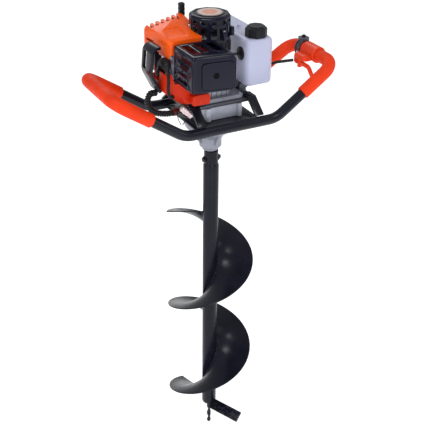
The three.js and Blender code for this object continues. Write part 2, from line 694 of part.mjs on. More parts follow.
function buildExhaust() {
  const outline = [[-107, -33.5], [-107, -123], [-18, -136], [-18, -33.5]];
  const inner = [[-104.6, -20], [-104.6, -120.2], [-20.4, -133], [-20.4, -20]];
  const shell = slab(softPolygon(outline, 7), 968, 1042);
  const room = slab(softPolygon(inner, 6), 970.4, 1039.6);
  const openFront = box(-98, -26, -150, -100, 975, 1035);
  const slotsSide = [[1021, 1032, -115], [1005, 1014, -98], [990, 999, -98], [975, 984, -98]].map(
    ([low, high, reach]) => box(-110, -101, reach, -46, low, high));
  const slotsTop = [0, 1, 2].map((i) => box(-96 + i * 26, -80 + i * 26, -100, -50, 1036, 1050));
  add('muffler_guard', cut(shell, [room, openFront, ...slotsSide, ...slotsTop,
    rod(RECOIL_R + 1, 1000, 1050, CRANK_X, 0, 32)]), BLACK);
  const tilt = Math.atan2(-13, 89) * (180 / Math.PI);
  const face = softPolygon([[0, 970], [88, 970], [88, 1040], [0, 1040]], 10);
  const panel = softPolygon([[17, 976], [84, 976], [84, 1030], [17, 1030]], 8);
  const cover = union([slabY(face, -3, 0), slabY(panel, -6, -1)])
    .subtract(bar([44, -20, 1005], [44, 20, 1005], 4.5, 20));
  add('guard_front_cover', cover.rotate([0, 0, tilt]).translate([-106.5, -123.6, 0]), BLACK);
  const can = slab(softPolygon([[-98, -42], [-98, -112], [-28, -116], [-28, -42]], 10), 977, 1032);
  const stub = box(-82, -60, -45, -33.3, BORE_Z - 5, BORE_Z + 10);
  add('muffler', union([can, stub]), RUST);
}

// ---- body panels round the engine ----
function buildShroud() {
  const profile = softPolygon([
    [-128, 1044], [-122, 1056], [-48, 1073], [-38, 1070], [-38, 1030], [-128, 1016],
  ], 6);
  const plan = softPolygon([[-114, -32.8], [-128, 62], [-38, 62], [-38, -32.8]], 8);
  const planIn = softPolygon([[-111, -30], [-125, 59], [-30, 59], [-30, -30]], 6);
  const profileIn = [[-125.5, 1040], [-120, 1053], [-47, 1070], [-30, 1067], [-30, 1000], [-125.5, 1000]];
  const below = (drop) => (
    box(-200, 100, -200, 200, -200, 0).rotate([LID_SLOPE, 0, 0]).translate([0, -28, LID_FRONT - drop]));
  const outer = slabY(profile, -60, 90).intersect(slab(plan, 1000, 1090)).intersect(below(0));
  const tab = slab(softPolygon([[-114.2, -31], [-118.5, 6], [-115.8, 6.6], [-111.4, -30.4]], 1), 1012, 1040);
  const inner = slabY(profileIn, -60, 90).intersect(slab(planIn, 900, 1090)).intersect(below(3.2));
  const pocket = slab(softPolygon([[-108, -18], [-68, -18], [-68, 14], [-104, 14]], 5), 1000, 1090)
    .subtract(below(1.4));
  const slots = [];
  for (let i = 0; i < 6; i += 1) {
    slots.push(box(-118 + i * 12, -111.5 + i * 12, 40, 70, 1042, 1100));
  }
  const sideSlot = box(-140, -110, 22, 50, 1030, 1036);
  const recoilWay = rod(RECOIL_R + 1, 990, 1100, CRANK_X, 0, 32);
  add('engine_shroud', cut(union([outer, tab]), [inner, pocket, recoilWay, sideSlot, ...slots]), ORANGE);
  const tray = [
    [-127, 984], [-127, 944], [-94, 918], [-82, 915], [-58, 915], [-58, 962.4], [-108, 962.4], [-114, 984],
  ];
  const trayIn = [[-124, 1000], [-124, 945.5], [-93, 921], [-81, 918], [-50, 918], [-50, 1000]];
  const bottom = slabY(tray, -45, 45);
  const room = slabY(trayIn, -42, 42);
  const duct = slabY(softPolygon([[-76, 915], [-36, 915], [-36, 937], [-76, 937]], 5), -62, -46);
  const plugWay = box(-130, -112, -13, 60, 960, 990);
  add('lower_shroud', union([cut(bottom, [room, plugWay]), duct, box(-74, -60, -50, -42, 916, 929)]),
    ORANGE_DARK);
  const loop = filleted([
    [-129, -6, 1036], [-146, -6, 1036], [-151, -6, 984], [-131, -6, 943],
  ], [0, 14, 24, 0], false, 5);
  const band = solid(sweep(loop, [[[-22, -3], [22, -3], [22, 3], [-22, 3]]], false));
  add('plug_guard_loop', band.subtract(box(-160, -140, -5, 8, 990, 1026)), BLACK);
}

// ---- recoil starter ----
function buildStarter() {
  const fanWall = ring(39.4, RECOIL_R, FAN_Z, RECOIL_Z - GAP, CRANK_X, 0, 32);
  add('fan_housing', fanWall.subtract(box(-80, CRANK_X - 12, -26, 26, 1009, 1035)), BLACK);
  const outer = turned([
    [0, RECOIL_Z], [RECOIL_R, RECOIL_Z], [RECOIL_R, 1080], [40, RECOIL_TOP - 1.5], [37, RECOIL_TOP],
    [0, RECOIL_TOP],
  ], CRANK_X, 0, 32);
  const inner = turned([
    [0, 1020], [39.3, 1020], [39.3, 1076], [36, 1081], [0, 1081],
  ], CRANK_X, 0, 32);
  const windows = Array.from({ length: 12 }, (_, i) => (
    union([box(35, 60, -4.5, 4.5, 1070, 1077), box(35, 60, -6, 6, 1040, 1062)])
      .rotate([0, 0, 15 + i * 30]).translate([CRANK_X, 0, 0])));
  const ropeWay = bar([PULL_X, 0, PULL_Z], [PULL_X, 60, PULL_Z], 4, 16);
  const post = rod(6, 1046, 1083, CRANK_X, 0, 24);
  add('recoil_housing', union([cut(outer, [inner, ...windows, ropeWay]), post]), BLACK);
  add('recoil_badge', turned([
    [0, RECOIL_TOP + GAP], [27, RECOIL_TOP + GAP], [26, RECOIL_TOP + 1.6], [0, RECOIL_TOP + 1.6],
  ], CRANK_X, 0, 26), WHITE);
  add('starter_pulley', turned([
    [6.4, 1048], [33, 1048], [33, 1050], [PULLEY_R - 2, 1052], [PULLEY_R - 2, 1060], [33, 1062],
    [33, 1064], [6.4, 1064], [6.4, 1048],
  ], CRANK_X, 0, 26), BLACK_MATT);
  add('starter_rope', bar([PULL_X, 20, PULL_Z], [PULL_X, 63.5, PULL_Z], 1.8, 10), BLACK_MATT);
  const grip = softPolygon([[-6.5, 62.5], [6.5, 62.5], [6.5, 76], [-6.5, 76]], 4)
    .map(([x, y]) => [PULL_X + x, y]);
  add('starter_handle', slab(grip, 1051, 1091)
    .subtract(bar([PULL_X, 50, PULL_Z], [PULL_X, 64, PULL_Z], 2.1, 12)), BLACK_MATT);
}

// ---- fuel tank ----
function buildTank() {
  const { x0, x1, y0, y1, z0, z1 } = TANK;
  const shellPlan = softRect(x0, x1, y0, y1, 15);
  const roomPlan = softRect(x0 + 2.5, x1 - 2.5, y0 + 2.5, y1 - 2.5, 13);
  const body = slab(shellPlan, z0 + 5, z1 - 7);
  const crown = slab(softRect(x0 + 4, x1 - 4, y0 + 4, y1 - 4, 13), z0, z1);
  const neck = union([rod(17, z1 - 3, z1 + 8, CAP[0], CAP[1], 32), rod(4, z1 - 1, z1 + 7, 92, 52, 16)]);
  const room = slab(roomPlan, z0 + 7.5, z1 - 9.5)
    .add(slab(softRect(x0 + 6.5, x1 - 6.5, y0 + 6.5, y1 - 6.5, 11), z0 + 3, z1 - 3));
  const mouth = rod(14.5, z1 - 10, z1 + 12, CAP[0], CAP[1], 32);
  const outlet = bar([x0 - 5, -15, 993], [x0 + 8, -15, 993], 8, 24);
  add('fuel_tank', cut(union([body, crown, neck]), [room, mouth, outlet]), WHITE);
  const knurl = Array.from({ length: 36 }, (_, i) => {
    const a = (2 * Math.PI * i) / 36;
    const r = i % 3 < 2 ? 24 : 22.6;
    return [CAP[0] + r * Math.cos(a), CAP[1] + r * Math.sin(a)];
  });
  const capBody = union([
    slab(knurl, z1 + GAP, z1 + 19),
    rod(21, z1 + 18, z1 + 23, CAP[0], CAP[1], 26),
  ]);
  add('fuel_cap', capBody.subtract(rod(17.3, z1 - 2, z1 + 15, CAP[0], CAP[1], 32)), BLACK_MATT);
  add('fuel_cap_seal', rod(17, z1 + 8.3, z1 + 10.8, CAP[0], CAP[1], 32), DARK_STEEL);
  const plug = union([
    bar([x0 - 4, -15, 993], [x0 - GAP, -15, 993], 14, 28),
    bar([x0 - 2, -15, 993], [x0 + 6, -15, 993], 7.6, 24),
    bar([x0 - 8, -15, 993], [x0 - 2, -15, 993], 4, 16),
  ]);
  add('tank_grommet', plug, BLACK_MATT);
  const hose = smoothPath([
    [x0 - 8.5, -15, 993], [43, -14, 994], [39, 0, 993], [40, 28, 989], [34, 50, 982], [6, 58, 974],
    [-28, 60, 967], [CARB_X + 17.5, 60, 966],
  ], 26);
  add('fuel_hose', tube(hose, 2.6, 8), BLACK_MATT);
}

// ---- controls on the right grip and the runs of cable ----
function buildControls() {
  const [ex, , ez] = END;
  const cross = bar([ex, -60, ez], [ex, 60, ez], GRIP_R + GAP, 32);
  const saddle = bar([ex, -24, ez], [ex, 26, ez], GRIP_R + 4, 32);
  const pod = box(213, 240, -22, 26, 934, 960);
  const triggerRoom = box(215, 250, -30, 13, 930, 950);
  add('throttle_housing', cut(union([saddle, pod]), [cross, triggerRoom]), ORANGE);
  const lever = filleted([[222, 5, 941], [225, -26, 939], [229, -44, 912]], [0, 12, 0], false, 4);
  const blade = solid(sweep(lever, [[[-3.2, -5], [3.2, -5], [3.2, 5], [-3.2, 5]]], false));
  add('throttle_trigger', union([blade, rod(5, 930.4, 949.6, 222, 5)]), ORANGE_DARK);
  const clampAt = 40;
  const clamp = union([
    bar([ex, clampAt - 9, ez], [ex, clampAt + 9, ez], GRIP_R + 3, 32),
    box(ex - 9, ex + 9, clampAt - 9, clampAt + 9, ez + 13, ez + 24),
  ]);
  add('stop_switch_clamp', cut(clamp, [
    bar([ex, 0, ez], [ex, 100, ez], GRIP_R + GAP, 32), rod(4.5, ez + 15.2, ez + 30, ex, clampAt, 20),
  ]), DARK_STEEL);
  add('stop_switch_button', rod(4, ez + 18, ez + 28, ex, clampAt, 20), ORANGE_DARK);
  const cable = filleted([
    [211.5, 16, 944], [168, 29, 941], [136, 34, 918.5], [51, 36, 918.5], [44, 66, 935], [-20, 66, 992.7],
    [-37.5, 58, 992.7],
  ], [0, 40, 20, 12, 16, 12, 0], false, 4);
  add('throttle_cable', tube(cable, 3, 8), BLACK_MATT);
  const stopLead = smoothPath([
    [ex - 10.4, clampAt, ez + 18], [233, 38, 972], [228, 33, 963], [224, 27.5, 956],
  ], 12);
  add('stop_switch_lead', tube(stopLead, 1.4, 8), BLACK_MATT);
  const loom = smoothPath([
    [-131, -2, 934], [-146, -8, 936], [-155, -14, 922], [-146, -18, 902], [-118, -22, 893],
    [-88, -24, 893], [-58, -26, 891],
  ], 28);
  add('wiring_conduit', tube(loom, 5.5, 10), BLACK_MATT);
}

buildBit();
buildGearbox();
buildHandle();
buildEngine();
buildShroud();
buildStarter();
buildTank();
buildControls();

export default group;
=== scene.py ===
"""Looks of an engine-driven ice auger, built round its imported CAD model. Metres, same frame as the CAD."""
import json
import math

import bmesh
import bpy
from mathutils import Matrix, Vector


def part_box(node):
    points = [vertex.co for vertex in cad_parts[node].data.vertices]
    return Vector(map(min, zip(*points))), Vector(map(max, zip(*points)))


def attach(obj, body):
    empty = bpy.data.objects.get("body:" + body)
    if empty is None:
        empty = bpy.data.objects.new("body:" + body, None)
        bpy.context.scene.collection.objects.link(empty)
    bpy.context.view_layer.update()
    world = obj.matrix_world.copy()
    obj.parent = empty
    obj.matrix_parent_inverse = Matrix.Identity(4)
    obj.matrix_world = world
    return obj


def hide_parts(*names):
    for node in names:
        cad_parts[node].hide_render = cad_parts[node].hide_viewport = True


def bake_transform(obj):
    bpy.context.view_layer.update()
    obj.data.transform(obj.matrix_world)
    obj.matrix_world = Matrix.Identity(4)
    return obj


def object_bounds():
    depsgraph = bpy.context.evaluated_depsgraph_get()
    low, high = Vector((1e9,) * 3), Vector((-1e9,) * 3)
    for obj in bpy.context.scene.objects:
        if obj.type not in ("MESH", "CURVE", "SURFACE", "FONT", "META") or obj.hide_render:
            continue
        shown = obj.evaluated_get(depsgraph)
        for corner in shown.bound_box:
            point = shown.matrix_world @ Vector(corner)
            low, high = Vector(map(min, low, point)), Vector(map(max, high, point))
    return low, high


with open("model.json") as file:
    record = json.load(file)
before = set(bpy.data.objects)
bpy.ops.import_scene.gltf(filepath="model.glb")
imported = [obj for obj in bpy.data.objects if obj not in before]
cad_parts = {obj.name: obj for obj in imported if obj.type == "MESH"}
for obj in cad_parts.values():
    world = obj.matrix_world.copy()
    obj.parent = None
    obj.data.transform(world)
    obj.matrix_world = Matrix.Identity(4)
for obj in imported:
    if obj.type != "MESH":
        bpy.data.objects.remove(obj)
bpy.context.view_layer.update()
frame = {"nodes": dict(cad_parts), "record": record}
MM = 0.001

# ---- camera ------------------------------------------------------------------------------------
CAM_DISTANCE = 2.0999
CAM_PITCH = 0.508
CAM_YAW = 0.494
CAM_ROLL = 0.011
CAM_TARGET_SIDE = 0.00667
CAM_TARGET_HEIGHT = 0.6174
CAM_LENS = 77.9


def add_camera():
    cos_y, sin_y = math.cos(CAM_YAW), math.sin(CAM_YAW)
    cos_p, sin_p = math.cos(CAM_PITCH), math.sin(CAM_PITCH)
    forward = Vector((sin_y * cos_p, cos_y * cos_p, -sin_p))
    level = Vector((cos_y, -sin_y, 0))
    upright = level.cross(forward)
    right = math.cos(CAM_ROLL) * level + math.sin(CAM_ROLL) * upright
    up = right.cross(forward)
    target = level * CAM_TARGET_SIDE + Vector((0, 0, CAM_TARGET_HEIGHT))
    place = target - forward * CAM_DISTANCE
    data = bpy.data.cameras.new("camera")
    data.lens = CAM_LENS
    data.sensor_width = 36
    camera = bpy.data.objects.new("camera", data)
    camera.matrix_world = Matrix((
        (right.x, up.x, -forward.x, place.x),
        (right.y, up.y, -forward.y, place.y),
        (right.z, up.z, -forward.z, place.z),
        (0, 0, 0, 1),
    ))
    bpy.context.scene.collection.objects.link(camera)
    bpy.context.scene.camera = camera


# ---- materials ---------------------------------------------------------------------------------
def srgb(r, g, b):
    return tuple((c / 255 / 12.92) if c <= 10 else ((c / 255 + 0.055) / 1.055) ** 2.4 for c in (r, g, b))


def shade(colour, factor):
    return tuple(min(1.0, c * factor) for c in colour)


class Finish:
    """A procedural material: colour drift, roughness drift, fine bump and optional lighter edges, which are
    wear on paint and plastic and a painted highlight on gloss black plastic.
    """

    def __init__(self, name, colour, rough, metallic=0.0):
        self.mat = bpy.data.materials.new(name)
        self.mat.use_nodes = True
        self.tree = self.mat.node_tree
        self.shader = self.tree.nodes["Principled BSDF"]
        self.shader.inputs["Metallic"].default_value = metallic
        self.coords = self.tree.nodes.new("ShaderNodeTexCoord")
        self.colour = colour
        self.rough = rough
        self.colour_out = None
        self.bump_out = None

    def node(self, kind, **values):
        made = self.tree.nodes.new(kind)
        for key, value in values.items():
            setattr(made, key, value)
        return made

    def link(self, a, b):
        self.tree.links.new(a, b)

    def noise(self, scale, detail=3.0, stretch=(1, 1, 1), roughness=0.5):
        mapping = self.node("ShaderNodeMapping")
        mapping.inputs["Scale"].default_value = stretch
        self.link(self.coords.outputs["Object"], mapping.inputs["Vector"])
        tex = self.node("ShaderNodeTexNoise")
        tex.inputs["Scale"].default_value = scale
        tex.inputs["Detail"].default_value = detail
        tex.inputs["Roughness"].default_value = roughness
        self.link(mapping.outputs["Vector"], tex.inputs["Vector"])
        return tex.outputs["Fac"]

    def ramp(self, source, stops):
        ramp = self.node("ShaderNodeValToRGB")
        while len(ramp.color_ramp.elements) < len(stops):
            ramp.color_ramp.elements.new(0.5)
        for element, (place, colour) in zip(ramp.color_ramp.elements, stops):
            element.position = place
            element.color = (*colour, 1)
        self.link(source, ramp.inputs["Fac"])
        return ramp.outputs["Color"]

    def mix(self, factor, a, b):
        mix = self.node("ShaderNodeMix", data_type="RGBA")
        self.link(factor, mix.inputs["Factor"])
        for socket, value in ((mix.inputs[6], a), (mix.inputs[7], b)):
            if isinstance(value, tuple):
                socket.default_value = (*value, 1)
            else:
                self.link(value, socket)
        return mix.outputs[2]

    def drift(self, scale=30, low=0.86, high=1.1):
        """Slow variation of the colour between two shades of it."""
        self.colour_out = self.ramp(self.noise(scale, 4), [
            (0.3, shade(self.colour, low)), (0.7, shade(self.colour, high))])
        return self

    def patches(self, scale, colour, start=0.55, end=0.7, detail=6):
        mask = self.ramp(self.noise(scale, detail, roughness=0.65), [(start, (0, 0, 0)), (end, (1, 1, 1))])
        self.colour_out = self.mix(mask, self.colour_out, colour)
        return self

    def edge_wear_and_highlight(self, colour, start=0.53, end=0.6, gaps=0.5):
        """Another colour on convex edges, broken up by noise; a lower gaps leaves fewer breaks. On paint and
        plastic it is edge wear; on gloss black plastic it is a painted highlight along the edges.
        """
        geometry = self.node("ShaderNodeNewGeometry")
        edge = self.ramp(geometry.outputs["Pointiness"], [(start, (0, 0, 0)), (end, (1, 1, 1))])
        breakup = self.ramp(self.noise(160, 5), [(gaps, (0, 0, 0)), (gaps + 0.12, (1, 1, 1))])
        both = self.node("ShaderNodeMath", operation="MULTIPLY")
        self.link(edge, both.inputs[0])
        self.link(breakup, both.inputs[1])
        self.colour_out = self.mix(both.outputs[0], self.colour_out, colour)
        return self

    def gloss(self, scale=60, spread=0.08):
        remap = self.node("ShaderNodeMapRange")
        remap.inputs["From Min"].default_value = 0.3
        remap.inputs["From Max"].default_value = 0.7
        remap.inputs["To Min"].default_value = max(0.02, self.rough - spread)
        remap.inputs["To Max"].default_value = min(1.0, self.rough + spread)
        self.link(self.noise(scale, 5), remap.inputs["Value"])
        self.link(remap.outputs["Result"], self.shader.inputs["Roughness"])
        return self

    def bump(self, scale, strength, distance=0.0004, stretch=(1, 1, 1), detail=2.0):
        bump = self.node("ShaderNodeBump")
        bump.inputs["Strength"].default_value = strength
        bump.inputs["Distance"].default_value = distance
        self.link(self.noise(scale, detail, stretch), bump.inputs["Height"])
        if self.bump_out is not None:
            self.link(self.bump_out, bump.inputs["Normal"])
        self.bump_out = bump.outputs["Normal"]
        return self

    def shine(self, level):
        self.shader.inputs["Specular IOR Level"].default_value = level
        return self

    def soft(self, weight, radius=(0.01, 0.008, 0.006), scale=0.4):
        self.shader.inputs["Subsurface Weight"].default_value = weight
        self.shader.inputs["Subsurface Radius"].default_value = radius
        self.shader.inputs["Subsurface Scale"].default_value = scale
        return self

    def done(self):
        self.link(self.colour_out, self.shader.inputs["Base Color"])
        if self.bump_out is not None:
            self.link(self.bump_out, self.shader.inputs["Normal"])
        return self.mat


def paint_finish(name, colour, rough, level=0.3):
    finish = Finish(name, colour, rough).drift(22, 0.8, 1.25).edge_wear_and_highlight(srgb(96, 98, 108), 0.56, 0.62)
    return finish.gloss(45, 0.06).bump(420, 0.1, 0.0002).bump(1800, 0.04, 0.0001).shine(level).done()


def plastic_finish(name, colour, rough, grain=1400, depth=0.16, level=0.4):
    finish = Finish(name, colour, rough).drift(18, 0.9, 1.08).edge_wear_and_highlight(shade(colour, 1.5), 0.57, 0.66)
    return finish.gloss(70, 0.06).bump(grain, depth, 0.00015).shine(level).done()


def metal_finish(name, colour, rough, stretch=(1, 1, 1), grain=900, depth=0.2, metallic=0.85):
    finish = Finish(name, colour, rough, metallic).drift(26, 0.82, 1.15)
    finish.patches(60, shade(colour, 0.6), 0.6, 0.8)
    return finish.gloss(50, 0.1).bump(grain, depth, 0.0002, stretch).done()


def cast_finish(name, colour, metallic):
    return metal_finish(name, colour, 0.4, grain=1000, depth=0.35, metallic=metallic)


def make_materials():
    """One finish for each material slot, and three that single pieces wear: grip_plastic, a darker copy of
    the cast alloy that is painted shade, and a near-black that paints the shade inside the cover's hex
    socket.
    """
    finishes = {
        "frame_paint": paint_finish("frame_paint", srgb(20, 21, 31), 0.24, 0.26),
        "bit_paint": paint_finish("bit_paint", srgb(20, 21, 32), 0.27, 0.17),
        "plate_paint": paint_finish("plate_paint", srgb(22, 23, 32), 0.34),
        "orange_plastic": plastic_finish("orange_plastic", srgb(243, 90, 14), 0.27, level=0.24),
        "orange_dark_plastic": plastic_finish("orange_dark_plastic", srgb(216, 48, 12), 0.36, level=0.18),
        "black_plastic": plastic_finish("black_plastic", srgb(24, 25, 31), 0.46, 1600, 0.25, 0.22),
        "black_rubber": plastic_finish("black_rubber", srgb(20, 20, 24), 0.5, 1200, 0.2, 0.3),
        "cast_alloy": cast_finish("cast_alloy", srgb(206, 209, 224), 0.2),
        "bright_steel": metal_finish("bright_steel", srgb(170, 172, 180), 0.28, (1, 1, 14), 500, 0.12),
        "dark_steel": metal_finish("dark_steel", srgb(92, 94, 102), 0.4, grain=800, depth=0.25),
        "lever_brass": metal_finish("lever_brass", srgb(190, 156, 90), 0.3, (1, 1, 10), 500, 0.12),
        "ceramic": plastic_finish("ceramic", srgb(226, 204, 208), 0.16, 600, 0.03),
    }
    # The light grey on the convex edges of gloss black plastic is a painted highlight along them, not wear.
    gloss = Finish("gloss_black_plastic", srgb(20, 22, 37), 0.15).drift(18, 0.9, 1.08)
    gloss.edge_wear_and_highlight(srgb(84, 90, 104), 0.6, 0.72, 0.4).gloss(70, 0.05).bump(900, 0.04, 0.00015).shine(0.2)
    finishes["gloss_black_plastic"] = gloss.done()
    # A darker copy of the cast alloy, painted shade: the lower gearbox and the crankcase wear it so they look
    # dim, as if in shadow.
    finishes["shade_painted_cast_alloy"] = cast_finish("shade_painted_cast_alloy", srgb(138, 141, 152), 0.5)
    finishes["grip_plastic"] = plastic_finish("grip_plastic", srgb(226, 62, 22), 0.34, level=0.22)
    # A near-black with little shine, painted shade: it stands for the dark inside of the cover's hex socket,
    # which is not cut.
    finishes["socket_shade_black"] = plastic_finish("socket_shade_black", srgb(6, 6, 9), 0.7, 900, 0.1, 0.1)
    foam = Finish("grip_foam", srgb(229, 56, 12), 0.58).shine(0.2).drift(24, 0.86, 1.1)
    foam.patches(120, shade(foam.colour, 0.78), 0.62, 0.85)
    finishes["grip_foam"] = foam.gloss(90, 0.1).bump(1500, 0.35, 0.00025).bump(300, 0.12, 0.0004).done()
    can = Finish("muffler_steel", srgb(104, 26, 34), 0.5, 0.3).drift(40, 0.6, 1.3)
    can.patches(35, srgb(58, 28, 34), 0.5, 0.7)
    finishes["muffler_steel"] = can.gloss(60, 0.15).bump(500, 0.3, 0.0003).done()
    tank = Finish("tank_plastic", srgb(186, 189, 214), 0.33).drift(12, 0.95, 1.03)
    tank.soft(0.35).bump(700, 0.06, 0.0002)
    finishes["tank_plastic"] = tank.gloss(40, 0.06).done()
    finishes["badge_print"] = badge_finish()
    return finishes


def badge_finish():
    """White ring round an orange middle, mottled by fine noise in colour and surface."""
    low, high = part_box("recoil_badge")
    centre = (low + high) / 2
    finish = Finish("badge_print", srgb(240, 240, 240), 0.25)
    offset = finish.node("ShaderNodeVectorMath", operation="SUBTRACT")
    finish.link(finish.coords.outputs["Object"], offset.inputs[0])
    offset.inputs[1].default_value = centre
    length = finish.node("ShaderNodeVectorMath", operation="LENGTH")
    finish.link(offset.outputs["Vector"], length.inputs[0])
    radius = finish.node("ShaderNodeMath", operation="DIVIDE")
    finish.link(length.outputs["Value"], radius.inputs[0])
    radius.inputs[1].default_value = (high.x - low.x) / 2
    rings = finish.ramp(radius.outputs[0], [
        (0.0, srgb(232, 120, 70)), (0.56, srgb(226, 104, 52)), (0.62, srgb(206, 204, 206)),
        (0.88, srgb(196, 198, 206)), (0.93, srgb(60, 62, 70))])
    finish.colour_out = finish.mix(finish.noise(160, 3), rings, srgb(196, 160, 138))
    return finish.gloss(60, 0.08).bump(900, 0.05, 0.0001).done()


add_camera()
MATERIALS = make_materials()
NODE_SLOT = {s["node"]: s["material_slot"] for s in frame["record"]["subparts"]}
NODE_BODY = {n: body for body, nodes in frame["record"]["behaviour"]["bodies"].items() for n in nodes}


# ---- mesh helpers ------------------------------------------------------------------------------
def mark_sharp(mesh, degrees):
    bm = bmesh.new()
    bm.from_mesh(mesh)
    for face in bm.faces:
        face.smooth = True
    for edge in bm.edges:
        edge.smooth = edge.is_manifold and edge.calc_face_angle(0) < math.radians(degrees)
    bm.to_mesh(mesh)
    bm.free()


def bake(obj):
    """The object's modifiers applied."""
    graph = bpy.context.evaluated_depsgraph_get()
    mesh = bpy.data.meshes.new_from_object(obj.evaluated_get(graph))
    obj.modifiers.clear()
    obj.data = mesh


def dress(obj, slot, body, nodes=(), bevel=0.0, segments=2, angle=38, limit=32, look=None):
    """Bevels, shades and finishes a piece, puts it on its body and hides the CAD nodes it stands for.
    look names a finish other than the slot's own."""
    if bevel:
        modifier = obj.modifiers.new("bevel", "BEVEL")
        modifier.width = bevel
        modifier.segments = segments
        modifier.limit_method = "ANGLE"
        modifier.angle_limit = math.radians(limit)
        bake(obj)
    mark_sharp(obj.data, angle)
    obj.data.materials.clear()
    obj.data.materials.append(MATERIALS[look or slot])
    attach(obj, body)
    if nodes:
        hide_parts(*nodes)
    return obj


def from_bmesh(name, bm):
    mesh = bpy.data.meshes.new(name)
    bmesh.ops.recalc_face_normals(bm, faces=bm.faces)
    bm.to_mesh(mesh)
    bm.free()
    obj = bpy.data.objects.new(name, mesh)
    bpy.context.scene.collection.objects.link(obj)
    return obj


def from_lists(name, verts, faces):
    mesh = bpy.data.meshes.new(name)
    mesh.from_pydata([tuple(v) for v in verts], [], faces)
    bm = bmesh.new()
    bm.from_mesh(mesh)
    return from_bmesh(name, bm)


def refine(node, bevel=0.0008, segments=2, name=None, **more):
    """A CAD node's shape with its flat faces joined and its edges rounded."""
    bm = bmesh.new()
    bm.from_mesh(frame["nodes"][node].data)
    bmesh.ops.remove_doubles(bm, verts=bm.verts, dist=1e-6)
    bmesh.ops.dissolve_limit(bm, angle_limit=math.radians(1.0), verts=bm.verts, edges=bm.edges)
    obj = from_bmesh(name or node + "_look", bm)
    return dress(obj, NODE_SLOT[node], NODE_BODY[node], (node,), bevel, segments, **more)


def lathe(name, profile, centre=(0, 0), sides=96, closed=False):
    """profile of (radius, z) turned about a vertical axis; ends on the axis are closed with a fan."""
    verts, faces, rows = [], [], []
    for r, z in profile:
        if r < 1e-7:
            rows.append([len(verts)])
            verts.append((centre[0], centre[1], z))
            continue
        rows.append(list(range(len(verts), len(verts) + sides)))
        for i in range(sides):
            a = 2 * math.pi * i / sides
            verts.append((centre[0] + r * math.cos(a), centre[1] + r * math.sin(a), z))
    for low, high in zip(rows, rows[1:] + rows[:1] if closed else rows[1:]):
        if len(low) == 1 and len(high) == 1:
            continue
        for i in range(sides):
            j = (i + 1) % sides
            if len(low) == 1:
                faces.append((low[0], high[j], high[i]))
            elif len(high) == 1:
                faces.append((low[i], low[j], high[0]))
            else:
                faces.append((low[i], low[j], high[j], high[i]))
    return from_lists(name, verts, faces)


def fillet_path(points, radii, closed=False, steps=14):
    points = [Vector(p) for p in points]
    out = []
    for i, p in enumerate(points):
        if not radii[i] or (not closed and i in (0, len(points) - 1)):
            out.append(p)
            continue
        u = (points[i - 1] - p).normalized()
        v = (points[(i + 1) % len(points)] - p).normalized()
        half = u.angle(v) / 2
        centre = p + (u + v).normalized() * (radii[i] / math.sin(half))
        a = p + u * (radii[i] / math.tan(half)) - centre
        b = p + v * (radii[i] / math.tan(half)) - centre
        whole = a.angle(b)
        for k in range(steps + 1):
            t = k / steps
            arm = (a * math.sin((1 - t) * whole) + b * math.sin(t * whole)) / math.sin(whole)
            out.append(centre + arm)
    return out


def smooth_path(points, count):
    """Centripetal Catmull-Rom curve through the points."""
    pts = [Vector(p) for p in points]
    pts = [pts[0] * 2 - pts[1], *pts, pts[-1] * 2 - pts[-2]]
    dense = []
    for p0, p1, p2, p3 in zip(pts, pts[1:], pts[2:], pts[3:]):
        t0 = 0.0
        t1 = t0 + max((p1 - p0).length, 1e-9) ** 0.5
        t2 = t1 + max((p2 - p1).length, 1e-9) ** 0.5
        t3 = t2 + max((p3 - p2).length, 1e-9) ** 0.5
        for k in range(24):
            t = t1 + (t2 - t1) * k / 24
            a1 = p0 * ((t1 - t) / (t1 - t0)) + p1 * ((t - t0) / (t1 - t0))
            a2 = p1 * ((t2 - t) / (t2 - t1)) + p2 * ((t - t1) / (t2 - t1))
            a3 = p2 * ((t3 - t) / (t3 - t2)) + p3 * ((t - t2) / (t3 - t2))
            b1 = a1 * ((t2 - t) / (t2 - t0)) + a2 * ((t - t0) / (t2 - t0))
            b2 = a2 * ((t3 - t) / (t3 - t1)) + a3 * ((t - t1) / (t3 - t1))
            dense.append(b1 * ((t2 - t) / (t2 - t1)) + b2 * ((t - t1) / (t2 - t1)))
    dense.append(pts[-2])
    return resample(dense, count)


def resample(path, count):
    lengths = [0.0]
    for a, b in zip(path, path[1:]):
        lengths.append(lengths[-1] + (b - a).length)
    out, k = [], 0
    for i in range(count + 1):
        goal = lengths[-1] * i / count
        while k < len(path) - 2 and lengths[k + 1] < goal:
            k += 1
        span = lengths[k + 1] - lengths[k]
        out.append(path[k].lerp(path[k + 1], (goal - lengths[k]) / span if span > 1e-12 else 0))
    return out


def sweep(name, path, rings, closed=False):
    """rings(i, s) gives the cross-section as (side, up) pairs at path point i, s metres along."""
    verts, faces = [], []
    normal, travelled, count = None, 0.0, len(path)
    for i, p in enumerate(path):
        ahead = path[(i + 1) % count if closed else min(i + 1, count - 1)]
        behind = path[i - 1 if closed else max(i - 1, 0)]
        tangent = (ahead - behind).normalized()
        if closed or normal is None:
            normal = Vector((1, 0, 0)) if abs(tangent.z) > 0.95 else Vector((0, 0, 1))
        normal = (normal - tangent * normal.dot(tangent)).normalized()
        side = tangent.cross(normal)
        if i:
            travelled += (p - path[i - 1]).length
        section = rings(i, travelled)
        verts += [p + side * s + normal * h for s, h in section]
    n = len(section)
    for i in range(count if closed else count - 1):
        for j in range(n):
            k = (j + 1) % n
            m = (i + 1) % count
            faces.append((i * n + j, i * n + k, m * n + k, m * n + j))
    if not closed:
        faces.append(tuple(range(n)))
        faces.append(tuple((count - 1) * n + j for j in range(n)))
    return from_lists(name, verts, faces)


def circle(r, sides=24):
    angles = [2 * math.pi * j / sides for j in range(sides)]
    return [(r * math.cos(a), r * math.sin(a)) for a in angles]


